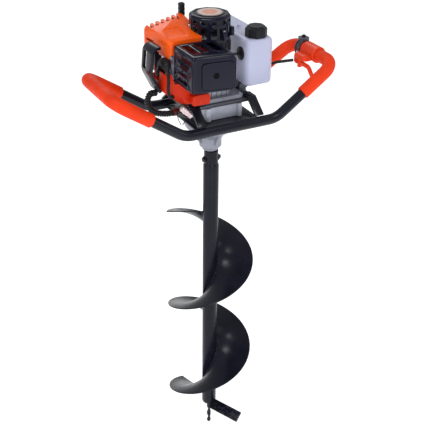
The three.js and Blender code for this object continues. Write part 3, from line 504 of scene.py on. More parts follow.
def tube(name, path, r, sides=20, closed=False):
    return sweep(name, path, lambda i, s: circle(r, sides), closed)


def join(name, pieces):
    """One object from several, keeping every shell."""
    bm = bmesh.new()
    for piece in pieces:
        bm.from_mesh(piece.data)
        bpy.data.objects.remove(piece)
    mesh = bpy.data.meshes.new(name)
    bm.to_mesh(mesh)
    bm.free()
    obj = bpy.data.objects.new(name, mesh)
    bpy.context.scene.collection.objects.link(obj)
    return obj


def flat_path(points, radius, steps):
    """Convex outline in the XY plane with its corners rounded."""
    return fillet_path([(x, y, 0) for x, y in points], [max(radius, 0.05)] * len(points), True, steps)


def inset(points, d):
    """Convex anticlockwise outline moved inwards by d."""
    out = []
    for i, p in enumerate(points):
        before = (Vector(p) - Vector(points[i - 1])).normalized()
        after = (Vector(points[(i + 1) % len(points)]) - Vector(p)).normalized()
        n1, n2 = Vector((-before.y, before.x)), Vector((-after.y, after.x))
        out.append(Vector(p) + (n1 + n2) * (d / (1 + n1.dot(n2))))
    return out


def block(name, outline, corner, z0, z1, top=0.0, bottom=0.0, rings=None, steps=6):
    """Convex block in millimetres with rounded corners, its top and bottom edges rounded too."""
    if rings is None:
        arc = [math.pi / 2 * k / steps for k in range(steps + 1)]
        low = [(bottom * (1 - math.sin(a)), z0 + bottom * (1 - math.cos(a))) for a in arc]
        high = [(top * (1 - math.cos(a)), z1 - top * (1 - math.sin(a))) for a in arc]
        rings = (low if bottom else [(0, z0)]) + (high if top else [(0, z1)])
    verts, faces = [], []
    for d, z in rings:
        for p in flat_path(inset(outline, d), corner - d, steps):
            verts.append((p.x * MM, p.y * MM, z * MM))
    n = len(verts) // len(rings)
    for i in range(len(rings) - 1):
        for j in range(n):
            k = (j + 1) % n
            faces.append((i * n + j, i * n + k, (i + 1) * n + k, (i + 1) * n + j))
    faces += [tuple(range(n)), tuple((len(rings) - 1) * n + j for j in range(n))]
    return from_lists(name, verts, faces)


def rect(x0, y0, x1, y1):
    return [(x0, y0), (x1, y0), (x1, y1), (x0, y1)]


def brick(x0, y0, z0, x1, y1, z1, corner=0.8):
    return block("cutter", rect(x0, y0, x1, y1), corner, z0, z1)


def lathe_mm(name, profile, x=0.0, y=0.0, sides=96, closed=False):
    """lathe with its profile and its centre in millimetres."""
    return lathe(name, [(r * MM, z * MM) for r, z in profile], (x * MM, y * MM), sides, closed)


def drum(x, y, r, z0, z1):
    return lathe_mm("cutter", [(0, z0), (r, z0), (r, z1), (0, z1)], x, y)


def moved(obj, degrees=0.0, shift=(0, 0, 0), axis="Z"):
    """Turned about an axis through the origin, then shifted by millimetres."""
    turn = Matrix.Rotation(math.radians(degrees), 4, axis)
    obj.data.transform(Matrix.Translation(Vector(shift) * MM) @ turn)
    return obj


def carve(obj, *cutters):
    for cutter in cutters:
        modifier = obj.modifiers.new("cut", "BOOLEAN")
        modifier.operation = "DIFFERENCE"
        modifier.solver = "EXACT"
        modifier.object = cutter
    bake(obj)
    for cutter in cutters:
        bpy.data.objects.remove(cutter)
    return obj


def turn_to(obj, place, axis):
    """Moves a piece made upright at the origin so that its +Z points along axis, at place."""
    spin = Vector((0, 0, 1)).rotation_difference(Vector(axis).normalized()).to_matrix().to_4x4()
    obj.data.transform(Matrix.Translation(place) @ spin)
    return obj


def bolt(name, place, axis, r, body, slot="bright_steel", height=None):
    """Hexagon flange bolt head with a chamfered top, standing on place."""
    h = height or r * 0.75
    profile = [(0, 0), (r * 1.25, 0), (r * 1.25, h * 0.18), (r, h * 0.3), (0, h * 0.3)]
    flange = lathe(name + "_flange", profile, sides=40)
    verts, faces = [], []
    for z, rr in ((h * 0.25, r), (h * 0.85, r), (h, r * 0.84)):
        for j in range(6):
            a = math.pi * j / 3
            verts.append((rr * math.cos(a), rr * math.sin(a), z))
    for i in range(2):
        for j in range(6):
            k = (j + 1) % 6
            faces.append((i * 6 + j, i * 6 + k, i * 6 + 6 + k, i * 6 + 6 + j))
    faces += [tuple(range(6)), tuple(range(12, 18))]
    head = from_lists(name + "_head", verts, faces)
    obj = turn_to(join(name, [flange, head]), place, axis)
    return dress(obj, slot, body, angle=25)


# ---- bit ---------------------------------------------------------------------------------------
SHAFT_R = 17.5 * MM
FLIGHT_R = 100 * MM
FLIGHT_T = 3.2 * MM
PITCH = 250 * MM
FLIGHT_FROM = math.radians(106.3)
FLIGHT_TO = math.radians(873)
PIN_Z = 757 * MM


def helix_point(r, a, z_low):
    return Vector((r * math.cos(a), r * math.sin(a), z_low + PITCH * (a - FLIGHT_FROM) / (2 * math.pi)))


def build_bit():
    low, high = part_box("auger_shaft")
    shoulder = 745 * MM
    collar = 15.8 * MM
    profile = [
        (0, low.z), (0.012, low.z), (0.0158, low.z + 0.0016), (0.0170, low.z + 0.0038),
        (SHAFT_R, low.z + 0.0075), (SHAFT_R, shoulder - 0.004),
        (SHAFT_R - 0.0004, shoulder - 0.0018), (collar + 0.0002, shoulder + 0.0012),
        (collar, shoulder + 0.003), (collar, high.z - 0.001), (collar - 0.001, high.z), (0.010, high.z),
        (0.010, high.z - 0.03), (0, high.z - 0.03),
    ]
    dress(lathe("bit_shaft", profile), "bit_paint", "auger", ["auger_shaft"])
    build_flight()
    build_pilot()
    refine("cutter_blade", 0.0012, 2)
    head_low, head_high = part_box("drive_pin_bolt")
    bolt("drive_pin_head", (-collar, 0, PIN_Z), (-1, 0, 0), 0.0062, "auger", "bit_paint", 0.0052)
    bolt("drive_pin_nut_look", (collar, 0, PIN_Z), (1, 0, 0), 0.0062, "auger", "bit_paint", 0.0052)
    ends = [Vector((head_low.x + 0.003, 0, PIN_Z)), Vector((head_high.x, 0, PIN_Z))]
    shank = tube("drive_pin_shank", ends, 0.0038)
    dress(shank, "bright_steel", "auger", ["drive_pin_bolt"], 0.0005)


def build_flight():
    low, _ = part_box("auger_flight")
    z_low = low.z + FLIGHT_T / 2
    steps, radial = 300, 10
    root = SHAFT_R + 0.3 * MM
    ease = 0.7 * MM
    across = [root + (FLIGHT_R - ease - root) * k / radial for k in range(radial + 1)]
    loop = [(r, -FLIGHT_T / 2) for r in across]
    loop += [(FLIGHT_R, -FLIGHT_T / 2 + ease), (FLIGHT_R, FLIGHT_T / 2 - ease)]
    loop += [(r, FLIGHT_T / 2) for r in reversed(across)]
    verts, faces = [], []
    n = len(loop)
    for i in range(steps + 1):
        a = FLIGHT_FROM + (FLIGHT_TO - FLIGHT_FROM) * i / steps
        for r, h in loop:
            verts.append(helix_point(r, a, z_low) + Vector((0, 0, h)))
    for i in range(steps):
        for j in range(n):
            k = (j + 1) % n
            faces.append((i * n + j, i * n + k, (i + 1) * n + k, (i + 1) * n + j))
    faces += [tuple(range(n)), tuple(steps * n + j for j in range(n))]
    dress(from_lists("flight", verts, faces), "bit_paint", "auger", ["auger_flight"])
    for side, lift in (("top", FLIGHT_T / 2), ("under", -FLIGHT_T / 2)):
        count = 900
        path = []
        for i in range(count + 1):
            a = FLIGHT_FROM + 0.06 + (FLIGHT_TO - FLIGHT_FROM - 0.12) * i / count
            path.append(helix_point(SHAFT_R + 0.9 * MM, a, z_low) + Vector((0, 0, lift)))
        bead = sweep(
            "weld_bead_" + side, path, lambda i, s: circle((1.9 + 0.35 * math.sin(s / 0.0011)) * MM, 8))
        dress(bead, "bit_paint", "auger", angle=80)


def build_pilot():
    low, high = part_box("pilot_point")
    rows, verts, faces = 90, [Vector((0, 0, low.z))], []
    section = [(4.8, 1.6), (4.2, 2.2), (-4.2, 2.2), (-4.8, 1.6),
               (-4.8, -1.6), (-4.2, -2.2), (4.2, -2.2), (4.8, -1.6)]
    n = len(section)
    for i in range(rows):
        t = i / (rows - 1)
        grow = min(1, 0.7 + t * 4) * MM
        z = low.z + 0.0025 + t * (high.z - low.z - 0.0025)
        turn = (z - 0.005) / 0.025 * math.pi - 0.494
        c, s = math.cos(turn), math.sin(turn)
        verts += [Vector((grow * (x * c - y * s), grow * (x * s + y * c), z)) for x, y in section]
    for j in range(n):
        faces.append((0, 1 + (j + 1) % n, 1 + j))
    for i in range(rows - 1):
        for j in range(n):
            a, b = 1 + i * n + j, 1 + i * n + (j + 1) % n
            faces.append((a, b, b + n, a + n))
    faces.append(tuple(1 + (rows - 1) * n + j for j in range(n)))
    profile = [(0, 0.046), (0.0036, 0.0465), (0.0046, 0.049), (0.0046, high.z), (0, high.z)]
    shank = lathe("shank", profile, sides=40)
    dress(join("pilot", [from_lists("twist", verts, faces), shank]), "bit_paint", "auger", ["pilot_point"])


# ---- handle ------------------------------------------------------------------------------------
TUBE_R = 11.15 * MM
GRIP_R = 14.2 * MM
BEND = Vector((107.4, 88.7, 865.5)) * MM
END = Vector((252.6, 81.3, 960.7)) * MM
BEND_ROUND = 60 * MM
END_ROUND = 32 * MM


def at(sx, sy, p):
    return Vector((sx * p.x, sy * p.y, p.z))


def path_mm(points, count=None):
    points = [Vector(p) * MM for p in points]
    return smooth_path(points, count) if count else points


def eased(r, inner, length, ease):
    """Radius along a sleeve whose ends are rounded over."""
    def radius(s):
        edge = min(s, length - s)
        if edge > ease:
            return r
        return inner + (r - inner) * math.sqrt(max(0.02, 1 - (1 - edge / ease) ** 2))
    return radius


def build_handle():
    corners = [at(1, -1, BEND), at(1, -1, END), at(1, 1, END), at(1, 1, BEND),
               at(-1, 1, BEND), at(-1, 1, END), at(-1, -1, END), at(-1, -1, BEND)]
    radii = [BEND_ROUND, END_ROUND, END_ROUND, BEND_ROUND] * 2
    path = fillet_path(corners, radii, True)
    dress(tube("handle", path, TUBE_R, 40, True), "frame_paint", "frame", ["handle_tube"])
    for side, front, back in ((-1, 0.49, 0.46), (1, 0.45, 0.5)):
        name = "grip_left" if side < 0 else "grip_right"
        start = at(side, -1, BEND).lerp(at(side, -1, END), front)
        stop = at(side, 1, BEND).lerp(at(side, 1, END), back)
        corners = [start, at(side, -1, END), at(side, 1, END), stop]
        route = fillet_path(corners, [0, END_ROUND, END_ROUND, 0])
        length = sum((b - a).length for a, b in zip(route, route[1:]))
        radius = eased(GRIP_R, TUBE_R, length, 2.5 * MM)
        inner = [route[0].lerp(route[1], 0.6 * MM / (route[1] - route[0]).length)]
        inner += resample(route, 170)[1:-1]
        inner += [route[-1].lerp(route[-2], 0.6 * MM / (route[-2] - route[-1]).length)]
        path = [route[0], *inner, route[-1]]
        piece = sweep(name + "_look", path, lambda i, s, radius=radius: circle(radius(s), 40))
        dress(piece, "grip_foam", "frame", [name], angle=60)
    refine("mounting_plate", 0.0009, 3)
    for where in ("front_left", "front_right", "back_left", "back_right"):
        refine("strap_" + where, 0.0012, 3)


# ---- gearbox and engine ------------------------------------------------------------------------
def build_gearbox():
    low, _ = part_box("gearbox_lower")
    z = low.z / MM
    profile = [
        (10.4, z + 45), (10.4, z + 0.6), (11, z), (16.6, z), (17.5, z + 0.9), (17.5, z + 5.2),
        (19.5, z + 7.2), (24, z + 9), (24.5, z + 10), (24.5, z + 26), (26, z + 31), (30, z + 36.5),
        (50, z + 51.5), (55.5, z + 57),
        (58, z + 63), (58, z + 83.8), (57.2, z + 84.7), (18.4, z + 84.7), (18.4, z + 45),
    ]
    parts = [lathe_mm("case", profile, 0, 4, closed=True)]
    web = [(15, z + 13), (24, z + 15), (52, z + 55), (15, z + 55)]
    for k in range(4):
        rib = block("rib", web, 1.2, -2.5, 2.5, 1, 1, steps=3)
        moved(rib, 90, axis="X")
        parts.append(moved(rib, 90 * k, (0, 4, 0)))
    for k in range(6):
        a = math.radians(30 + 60 * k)
        boss = lathe("boss", [(0, (z + 58) * MM), (5 * MM, (z + 58) * MM), (6 * MM, (z + 59) * MM),
                              (6 * MM, (z + 84) * MM), (0, (z + 84) * MM)],
                     (51 * math.cos(a) * MM, (4 + 51 * math.sin(a)) * MM), 32)
        parts.append(boss)
        bolt(f"case_bolt_{k}", Vector((51 * math.cos(a), 4 + 51 * math.sin(a), z + 58)) * MM, (0, 0, -1),
             3.2 * MM, "frame")
    # The darker alloy look on the lower gearbox is painted shade.
    dress(join("gearbox_lower_look", parts), "cast_alloy", "frame", ["gearbox_lower"],
          look="shade_painted_cast_alloy")
    low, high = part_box("gearbox_upper")
    x0, y0, z0, x1, y1, z1 = [v / MM for v in (*low, *high)]
    upper = block("case", rect(x0, y0, x1, y1), 12, z0, z1, 2.5, 1.5)
    carve(upper, drum(-6, 0, 31, z0 + 7.7, z1 + 12), drum(-6, 0, 6.4, z0 - 8, z0 + 12))
    parts = [upper]
    for x, y in ((x0 + 11, y0), (x1 - 11, y0), (x0 + 11, y1), (x1 - 11, y1)):
        parts.append(lathe_mm("column", [
            (0, z0 + 0.4), (5.6, z0 + 0.4), (6.2, z0 + 1), (6.2, z1 - 1), (5.6, z1 - 0.4), (0, z1 - 0.4),
        ], x, y, 40))
    dress(join("gearbox_upper_look", parts), "cast_alloy", "frame", ["gearbox_upper"])
    for node in ("output_shaft", "output_gear", "idler_gear", "clutch_drum", "clutch_shoes",
                 "output_bearing"):
        refine(node, 0.0003, 1)


def build_engine():
    refine("engine_flange", 0.001, 3)
    low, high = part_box("crankcase")
    z0, z1 = low.z / MM, high.z / MM
    case = block("case", rect(-43, -33, 34, 40), 16, z0, z1, 3, 0)
    base = block("base", rect(-54, -44, 54, 46), 8, z0, z0 + 8.5, 2, 0)
    bore = moved(lathe("bore", [(0, -40 * MM), (23 * MM, -40 * MM), (23 * MM, 40 * MM), (0, 40 * MM)]), 90,
                 (-46, 0, z0 + 70), "Y")
    carve(case, drum(-6, 0, 31.5, z0 + 44, z1 + 5), drum(-6, 0, 8.4, z0 - 6, z0 + 54), bore)
    ribs = [brick(-30 + 12 * k, -35, z0 + 8, -27.5 + 12 * k, -30, z1 - 8) for k in range(5)]
    # The darker alloy look on the crankcase is painted shade.
    dress(join("crankcase_look", [case, base, *ribs]), "cast_alloy", "frame", ["crankcase"], 0.0004,
          look="shade_painted_cast_alloy")
    for k, (x, y) in enumerate(((-46, -37), (46, -37), (-46, 39), (46, 39))):
        bolt(f"base_bolt_{k}", Vector((x, y, z0 + 8.5)) * MM, (0, 0, 1), 3.4 * MM, "frame")
    refine("cylinder", 0.0005, 2)
    refine("carburettor", 0.0008)
    refine("filter_base", 0.0008)
    refine("filter_cover", 0.0015, 3)
    for node in ("crankshaft", "piston", "connecting_rod", "flywheel_fan", "throttle_lever", "choke_lever",
                 "primer_bulb", "spark_plug"):
        refine(node, 0.0004, 2)
    build_plug_cap()
    build_exhaust()


LEAD = [(-120, -4, 982), (-118, -14, 999), (-120, -30, 1003), (-124, -46, 992), (-124.5, -51, 972),
        (-126, -53, 954), (-123, -53, 942), (-114, -50, 938), (-114, -45.6, 938)]


LEAD_R = 3.1
BOOT_R = 7.4
BOOT_BULGE = 3.6
BOOT_LENGTH = 50


def build_plug_cap():
    boot = [(0, 9), (4.9, 9), (4.9, 0), (9.2, 0), (10, 0.8), (10, 3.2), (8.6, 4.4), (8.6, 8), (9.2, 9),
            (9.2, 12), (7.5, 15.4), (0, 16.6)]
    cap = turn_to(lathe_mm("boot", boot, sides=48), Vector((-112.4, 0, 976)) * MM, (-1, 0, 0))
    route = path_mm(LEAD, 150)

    def radius(i, s):
        """A ringed boot that is thickest at its middle, then the thin lead."""
        mm = s / MM
        bulge = BOOT_BULGE * math.sin(math.pi * min(1.0, mm / BOOT_LENGTH)) + 0.4 * (mm % 7 < 3.5)
        if mm < BOOT_LENGTH:
            return circle((BOOT_R + bulge) * MM, 24)
        return circle((LEAD_R + 4.3 * max(0.0, 1 - (mm - BOOT_LENGTH) / 4)) * MM, 24)

    dress(join("plug_cap_look", [cap, sweep("lead", route, radius)]), "black_rubber", "frame",
          ["plug_cap_and_lead"], angle=40)


def build_exhaust():
    dress(block("muffler_can", [(-98, -112), (-28, -116), (-28, -42), (-98, -42)], 10, 977, 1032, 6, 6),
          "muffler_steel", "frame", ["muffler"])
    outline = [(-107, -123), (-18, -136), (-18, -33.5), (-107, -33.5)]
    room = block("room", [(-104.6, -120.2), (-20.4, -133), (-20.4, -20), (-104.6, -20)], 6, 970.4, 1039.6)
    cuts = [room, brick(-98, -150, 975, -26, -100, 1035), drum(-6, 0, 43.5, 1000, 1050)]
    for z0, z1, reach in ((1021, 1032, -115), (1005, 1014, -98), (990, 999, -98), (975, 984, -98)):
        cuts.append(brick(-112, reach, z0, -101, -46, z1))
    cuts += [brick(-96 + 26 * k, -100, 1036, -80 + 26 * k, -50, 1050, 2) for k in range(3)]
    guard = carve(block("guard", outline, 8, 968, 1042, 5.5, 2), *cuts)
    dress(guard, "gloss_black_plastic", "frame", ["muffler_guard"], 0.0007, 2, limit=40)
    face = block("face", rect(0, 970, 88, 1040), 10, 0, 3.2, 2.2, 0.4)
    panel = block("panel", rect(17, 976, 84, 1030), 8, 1, 6, 1.8)
    groove = block("groove", rect(15.5, 974.5, 85.5, 1031.5), 9, 2.0, 9)
    carve(face, groove)
    cover = join("guard_front_cover_look", [face, panel])
    # The hex socket is not cut into the cover: this shallow near-black hexagon on the panel paints the shade
    # inside it.
    socket = [(0, 6.05), (4.4, 6.05), (4.7, 6.4), (6.4, 6.4), (7, 5.9), (7, 4), (0, 4)]
    screw = lathe_mm("cover_screw", socket, 45.5, 1004, 6)
    for piece in (cover, screw):
        moved(piece, 90, axis="X")
        moved(piece, math.degrees(math.atan2(-13, 89)), (-106.5, -123.6, 0))
    dress(cover, "gloss_black_plastic", "frame", ["guard_front_cover"], angle=30)
    # The near-black look is painted shade for the inside of the socket.
    dress(screw, "black_rubber", "frame", angle=20, look="socket_shade_black")


def build_shroud():
    refine("engine_shroud", 0.002, 4)
    refine("lower_shroud", 0.002, 4)
    refine("plug_guard_loop", 0.0018, 4)


# ---- recoil starter ----------------------------------------------------------------------------
def build_starter():
    low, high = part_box("fan_housing")
    cx, cy = (low.x + high.x) / 2, (low.y + high.y) / 2
    r = (high.x - low.x) / 2
    inner = r - 3 * MM
    wall = lathe("wall", [(inner, low.z), (r, low.z), (r, high.z), (inner, high.z)], (cx, cy), closed=True)
    carve(wall, brick(-80, -26, low.z / MM + 2.7, cx / MM - 12, 26, high.z / MM + 5))
    parts = [wall]
    for k in range(30):
        a = math.radians(12 * k + 6)
        if abs(a - math.pi) < 0.9:
            continue
        rib = brick(r / MM - 0.6, -1, low.z / MM + 1, r / MM + 1.6, 1, high.z / MM - 1.5, 0.5)
        parts.append(moved(rib, math.degrees(a), (cx / MM, cy / MM, 0)))
    dress(join("fan_housing_look", parts), "black_plastic", "frame", ["fan_housing"])
    build_recoil(cx, cy)
    build_rope()


def build_recoil(cx, cy):
    low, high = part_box("recoil_housing")
    r = (high.y - low.y) / 2 / MM
    z0, z1 = low.z / MM, high.z / MM
    sides = 10
    ring = [((r + 1.2) * math.cos(2 * math.pi * k / sides), (r + 1.2) * math.sin(2 * math.pi * k / sides))
            for k in range(sides)]
    shell = block("shell", ring, 12, z0, z1, rings=[
        (0.6, z0), (0.6, z1 - 25), (0, z1 - 24), (0, z1 - 6), (0.5, z1 - 4), (1.6, z1 - 2), (3.4, z1 - 0.7),
        (5.6, z1 - 0.1), (8.4, z1 - 0.1), (9.2, z1 - 1.1), (12.5, z1 - 1.1), (13.2, z1)], steps=5)
    cuts = [drum(0, 0, 39.3, z0 - 5, z1 - 9)]
    for k in range(12):
        for half, below, above in ((4.2, 15, 8), (6, 45, 22)):
            window = brick(34, -half, z1 - below, 60, half, z1 - above, 1.2)
            cuts.append(moved(window, 15 + 30 * k))
    carve(shell, *cuts)
    moved(shell, 0, (cx / MM, cy / MM, 0))
    parts = [shell]
    for degrees in (-28, 45, -78):
        a = math.radians(degrees)
        x, y = cx / MM + (r + 3) * math.cos(a), cy / MM + (r + 3) * math.sin(a)
        lug = [(0, z0 + 8), (4.6, z0 + 8), (4.8, z0 + 9), (4.8, z0 + 25), (4.2, z0 + 26), (0, z0 + 26)]
        parts.append(lathe_mm("lug", lug, x, y, 32))
        bolt(f"recoil_screw_{degrees % 360}", Vector((x, y, z0 + 26)) * MM, (0, 0, 1), 2.6 * MM, "frame")
    dress(join("recoil_housing_look", parts), "gloss_black_plastic", "frame", ["recoil_housing"], 0.0006, 2,
          limit=40)
    low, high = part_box("recoil_badge")
    br = (high.y - low.y) / 2
    disc = [(0, low.z), (br, low.z), (br, high.z - 0.0005), (br - 0.0006, high.z), (0, high.z)]
    dress(lathe("badge", disc, (cx, cy)), "badge_print", "frame", ["recoil_badge"])
    refine("starter_pulley", 0.0004)


def build_rope():
    low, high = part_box("starter_handle")
    x0, y0, z0, x1, y1, z1 = [v / MM for v in (*low, *high)]
    rings = [(3, z0), (1.4, z0 + 0.6), (0.4, z0 + 1.8), (0, z0 + 3.4)]
    rings += [(0.32 * (1 - math.cos(math.pi * k / 3)), z0 + 8 + 1.6 * k) for k in range(16)]
    rings += [(0, z1 - 4.5), (0.4, z1 - 2), (1.4, z1 - 0.6), (3, z1)]
    dress(block("pull_handle", rect(x0, y0, x1, y1), 4.5, z0, z1, rings=rings), "black_plastic", "pull",
          ["starter_handle"])
    low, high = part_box("starter_rope")
    centre = (low + high) / 2
    r = (high.z - low.z) / 2
    path = [Vector((centre.x, low.y + (high.y - low.y) * k / 60, centre.z)) for k in range(61)]

    def strands(i, s):
        """A round with three lobes, turning along the rope."""
        section = []
        for p, q in circle(r * 0.89, 18):
            k = 1 + 0.12 * math.cos(3 * math.atan2(q, p) - s / (1.2 * MM))
            section.append((p * k, q * k))
        return section

    rope = sweep("rope", path, strands)
    mark_sharp(rope.data, 60)
    rope.data.materials.append(MATERIALS["black_plastic"])
    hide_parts("starter_rope")
    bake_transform(rope)


# ---- tank --------------------------------------------------------------------------------------
def build_tank():
    low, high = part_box("fuel_tank")
    x0, y0, z0, x1, y1, z1 = [v / MM for v in (*low, *high)]
    top = z1 - 8
    cap_low, cap_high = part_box("fuel_cap")
    cx, cy = (cap_low.x + cap_high.x) / 2, (cap_low.y + cap_high.y) / 2
    shell = block("shell", rect(x0, y0, x1, y1), 15, z0, top, 9, 6, steps=8)
    neck = [(14.5, top - 6), (17, top - 6), (17, z1 - 0.6), (16.4, z1), (14.5, z1)]
    neck = lathe("neck", [(q * MM, h * MM) for q, h in neck], (cx, cy), closed=True)
    rim = [(0, top), (19.5, top), (18.4, top + 0.25), (0, top + 0.25)]
    rim = lathe("rim", [(q * MM, h * MM) for q, h in rim], (cx, cy))
    stub = lathe_mm("stub", [
        (0, top - 1), (5.5, top - 1), (4, top + 1.5), (4, z1 - 1.6), (3.4, z1 - 1), (0, z1 - 1)], 92, 52, 40)
    dress(join("fuel_tank_look", [shell, neck, rim, stub]), "tank_plastic", "frame", ["fuel_tank"])
    c0, c1 = cap_low.z / MM, cap_high.z / MM
    r = (cap_high.x - cap_low.x) / 2 / MM
    angles = [math.pi * (2 * k + 1) / 8 for k in range(8)]
    lobes = [(r * math.cos(a), r * math.sin(a)) for a in angles]
    cap = block("cap", lobes, 5, c0, c1, rings=[
        (0.8, c0), (0, c0 + 1.2), (0, c0 + 15), (0.8, c0 + 17.6), (2.6, c0 + 19.2), (4.6, c0 + 20),
        (5.2, c0 + 22), (6, c1)], steps=5)
    grooves = []
    for k in range(8):
        profile = [(0, c0 + 3), (1.1, c0 + 3), (1.1, c0 + 21), (0, c0 + 21)]
        groove = lathe_mm("groove", profile, r - 1.5, 0, 12)
        grooves.append(moved(groove, 45 * k))
    carve(cap, drum(0, 0, 17.3, c0 - 3, c0 + 14.7), *grooves)
    moved(cap, 0, (cx / MM, cy / MM, 0))
    dress(cap, "black_plastic", "cap", ["fuel_cap"], angle=24)
    refine("fuel_cap_seal", 0.0003)
    low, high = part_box("tank_grommet")
    centre = (low + high) / 2
    plug = [(0, -5), (7.4, -5), (7.4, 0), (13.4, 0), (14, 0.6), (14, 2.4), (12.6, 3.7), (6.4, 4.6),
            (4.6, 5.4), (4, 6.2), (4, 8.1), (0, 8.1)]
    place = Vector((x0 * MM - 0.3 * MM, centre.y, centre.z))
    dress(turn_to(lathe_mm("grommet", plug, sides=64), place, (-1, 0, 0)), "black_rubber", "frame",
          ["tank_grommet"], angle=30)


# ---- controls, hoses and wires -----------------------------------------------------------------
def rounded_bar(name, path, half_w, half_h, corner):
    section = []
    for cx, cy, start in ((1, 1, 0), (-1, 1, 90), (-1, -1, 180), (1, -1, 270)):
        for k in range(5):
            a = math.radians(start + 22.5 * k)
            section.append((
                cx * (half_w - corner) + corner * math.cos(a), cy * (half_h - corner) + corner * math.sin(a)))
    length = sum((b - a).length for a, b in zip(path, path[1:]))

    def rings(i, s):
        edge = min(s, length - s)
        k = 1 if edge > corner else 0.55 + 0.45 * math.sqrt(max(0, 1 - (1 - edge / corner) ** 2))
        return [(p * k, q * k) for p, q in section]

    return sweep(name, path, rings)


def build_controls():
    ex, ez = END.x / MM, END.z / MM
    saddle = lathe_mm("saddle", [
        (14.4, -24), (16.6, -24), (18.2, -22), (18.2, 24), (16.6, 26), (14.4, 26)], sides=64, closed=True)
    moved(saddle, -90, (ex, 0, ez), "X")
    pod = block("pod", rect(215, -20.5, 240, 24.5), 9, 935, 961, 8, 7)
    way = lathe_mm("way", [(0, -60), (14.4, -60), (14.4, 60), (0, 60)], sides=64)
    carve(pod, brick(215, -30, 930, 250, 13, 950, 2), moved(way, -90, (ex, 0, ez), "X"))
    dress(join("throttle_housing_look", [saddle, pod]), "orange_plastic", "frame", ["throttle_housing"],
          0.0008, 3, limit=40, look="grip_plastic")
    lever = fillet_path(path_mm([(222, 5, 941), (225, -26, 939), (229, -44, 912)]), [0, 12 * MM, 0])
    paddle = rounded_bar("paddle", resample(lever, 60), 3.2 * MM, 5 * MM, 2.4 * MM)
    profile = [(0, 930.6), (4.4, 930.6), (5, 931.2), (5, 948.8), (4.4, 949.4), (0, 949.4)]
    hub = lathe_mm("hub", profile, 222, 5, 40)
    dress(join("throttle_trigger_look", [paddle, hub]), "orange_dark_plastic", "trigger",
          ["throttle_trigger"],
          look="grip_plastic")
    refine("stop_switch_clamp", 0.0009, 3)
    refine("stop_switch_button", 0.0009, 3, look="black_plastic")
    cable = fillet_path(path_mm([
        (211.5, 16, 944), (168, 29, 941), (136, 34, 918.5), (51, 36, 918.5), (44, 66, 935),
        (-20, 66, 992.7), (-37.5, 58, 992.7)]), [0, 0.04, 0.02, 0.012, 0.016, 0.012, 0])
    dress(tube("cable", resample(cable, 200), 3.3 * MM, 20), "black_rubber", "frame", ["throttle_cable"])
    lead = path_mm([(ex - 10.4, 40, ez + 18), (233, 38, 972), (228, 33, 963), (224, 27.5, 956)], 60)
    dress(tube("stop_lead", lead, 1.4 * MM, 14), "black_rubber", "frame", ["stop_switch_lead"])
    hose = path_mm([(52.5, -15, 993), (43, -14, 994), (39, 0, 993), (40, 28, 989), (34, 50, 982),
                    (6, 58, 974), (-28, 60, 967), (-48.5, 60, 966)], 160)
    dress(tube("hose", hose, 2.6 * MM, 18), "black_rubber", "frame", ["fuel_hose"])
    build_loom()


CONDUIT = [(-131, -2, 934), (-146, -8, 936), (-155, -14, 922), (-146, -18, 902), (-118, -22, 893),
           (-88, -24, 893), (-58, -26, 891)]
CONDUIT_R = 6.2
CONDUIT_RIB = 0.7
CONDUIT_WAVE = 0.75 * MM
COLLAR = [(-103, -23, 893), (-92, -23.6, 893)]
WIRES = [
    ("black_rubber", 1.0, [(-88, -24, 896), (-90, -44, 912), (-95, -62, 924), (-103, -66, 926),
                           (-112, -67, 921)]),
    ("black_rubber", 1.0, [(-88, -26, 898), (-86, -50, 914), (-90, -66, 918), (-88, -71, 911)]),
    ("lever_brass", 1.0, [(-89, -25, 894), (-97, -46, 908), (-104, -64, 920), (-101, -70, 917)]),
    ("lever_brass", 1.0, [(-88, -24, 892), (-92, -48, 906), (-97, -65, 919), (-95, -70, 914)]),
    ("black_rubber", 0.8, [(-90, -24, 892), (-104, -48, 902), (-114, -66, 910), (-115, -74, 900),
                           (-111, -79, 888)]),
    ("black_rubber", 0.8, [(-90, -70, 906), (-98, -75, 900), (-103, -78, 894), (-108, -79, 887)]),
    ("dark_steel", 0.8, [(-112, -68, 913), (-106, -72, 906), (-97, -75, 900), (-92, -74, 902)]),
]
CONNECTORS = [((-99, -71, 913), (10, 6.5, 19)), ((-90.5, -73, 904), (8.5, 5, 15))]
CONNECTOR_AXIS = (0.7, -0.16, -0.69)
CONNECTOR_LIP = 0.8


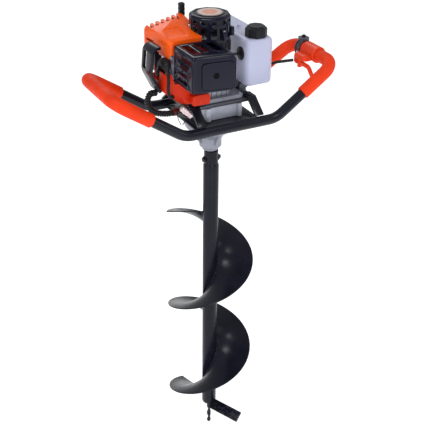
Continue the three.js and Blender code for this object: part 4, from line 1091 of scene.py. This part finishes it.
def build_loom():
    """Ribbed conduit with the ends of its wires and their connectors."""
    conduit = sweep("conduit", path_mm(CONDUIT, 620), lambda i, s: circle(
        (CONDUIT_R + CONDUIT_RIB * math.sin(s / CONDUIT_WAVE)) * MM, 20))
    dress(conduit, "black_plastic", "frame", ["wiring_conduit"], angle=80)
    collar = tube("loom_collar", path_mm(COLLAR), 7.6 * MM, 24)
    dress(collar, "muffler_steel", "frame", (), 0.0008)
    for k, (slot, r, points) in enumerate(WIRES):
        dress(tube(f"wire_{k}", path_mm(points, 60), r * MM, 12), slot, "frame")
    for k, (place, (width, depth, length)) in enumerate(CONNECTORS):
        w, d = width / 2, depth / 2
        plug = block("plug", rect(-w, -d, w, d), 1.4, -length / 2, length / 2, 1, 1, steps=3)
        w, d = w + CONNECTOR_LIP, d + CONNECTOR_LIP
        lip = block("lip", rect(-w, -d, w, d), 1.8, -1.6, 1.6, 0.5, 0.5, steps=3)
        body = turn_to(join(f"connector_{k}", [plug, lip]), Vector(place) * MM, CONNECTOR_AXIS)
        dress(body, "ceramic", "frame")


# ---- stage -------------------------------------------------------------------------------------
WORLD_LIGHT = 0.5
FLOOR_GLOW = 0.55
LIGHTS = [
    ("key", (-2.0, -1.4, 3.4), (0, 0, 0.8), 1.3, 42),
    ("fill", (2.6, -2.2, 1.9), (0, 0, 0.7), 1.6, 8),
    ("rim", (0.8, 2.8, 2.8), (0, 0, 0.9), 1.4, 12),
    ("low_front", (-0.5, -2.4, 0.75), (0, 0, 0.88), 0.9, 8),
    ("edge_top", (0.7, -1.6, 3.3), (0, 0, 0.95), 0.6, 11),
    ("edge_left", (-2.6, -0.95, 0.6), (0, 0, 0.95), 0.5, 5),
]


def area_light(name, place, target, size, power):
    data = bpy.data.lights.new(name, "AREA")
    data.shape = "DISK"
    data.size = size
    data.energy = power
    obj = bpy.data.objects.new(name, data)
    aim = (Vector(target) - Vector(place)).to_track_quat("-Z", "Y")
    obj.matrix_world = Matrix.Translation(place) @ aim.to_matrix().to_4x4()
    bpy.context.scene.collection.objects.link(obj)


def build_stage():
    bm = bmesh.new()
    bmesh.ops.create_grid(bm, x_segments=2, y_segments=2, size=14.0)
    floor = from_bmesh("floor", bm)
    floor.location = (0, 4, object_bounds()[0][2] - 0.0005)
    finish = Finish("floor_finish", srgb(250, 250, 251), 0.8).drift(3, 0.985, 1.01).gloss(8, 0.05)
    finish.shader.inputs["Emission Color"].default_value = (1, 1, 1, 1)
    finish.shader.inputs["Emission Strength"].default_value = FLOOR_GLOW
    floor.data.materials.append(finish.done())
    world = bpy.data.worlds.new("studio")
    world.use_nodes = True
    background = world.node_tree.nodes["Background"]
    background.inputs["Color"].default_value = (0.95, 0.97, 1.0, 1)
    background.inputs["Strength"].default_value = WORLD_LIGHT
    bpy.context.scene.world = world
    for name, place, target, size, power in LIGHTS:
        area_light(name, place, target, size, power)
    bpy.context.scene.view_settings.view_transform = "Standard"


build_bit()
build_handle()
build_gearbox()
build_engine()
build_shroud()
build_starter()
build_tank()
build_controls()
build_stage()
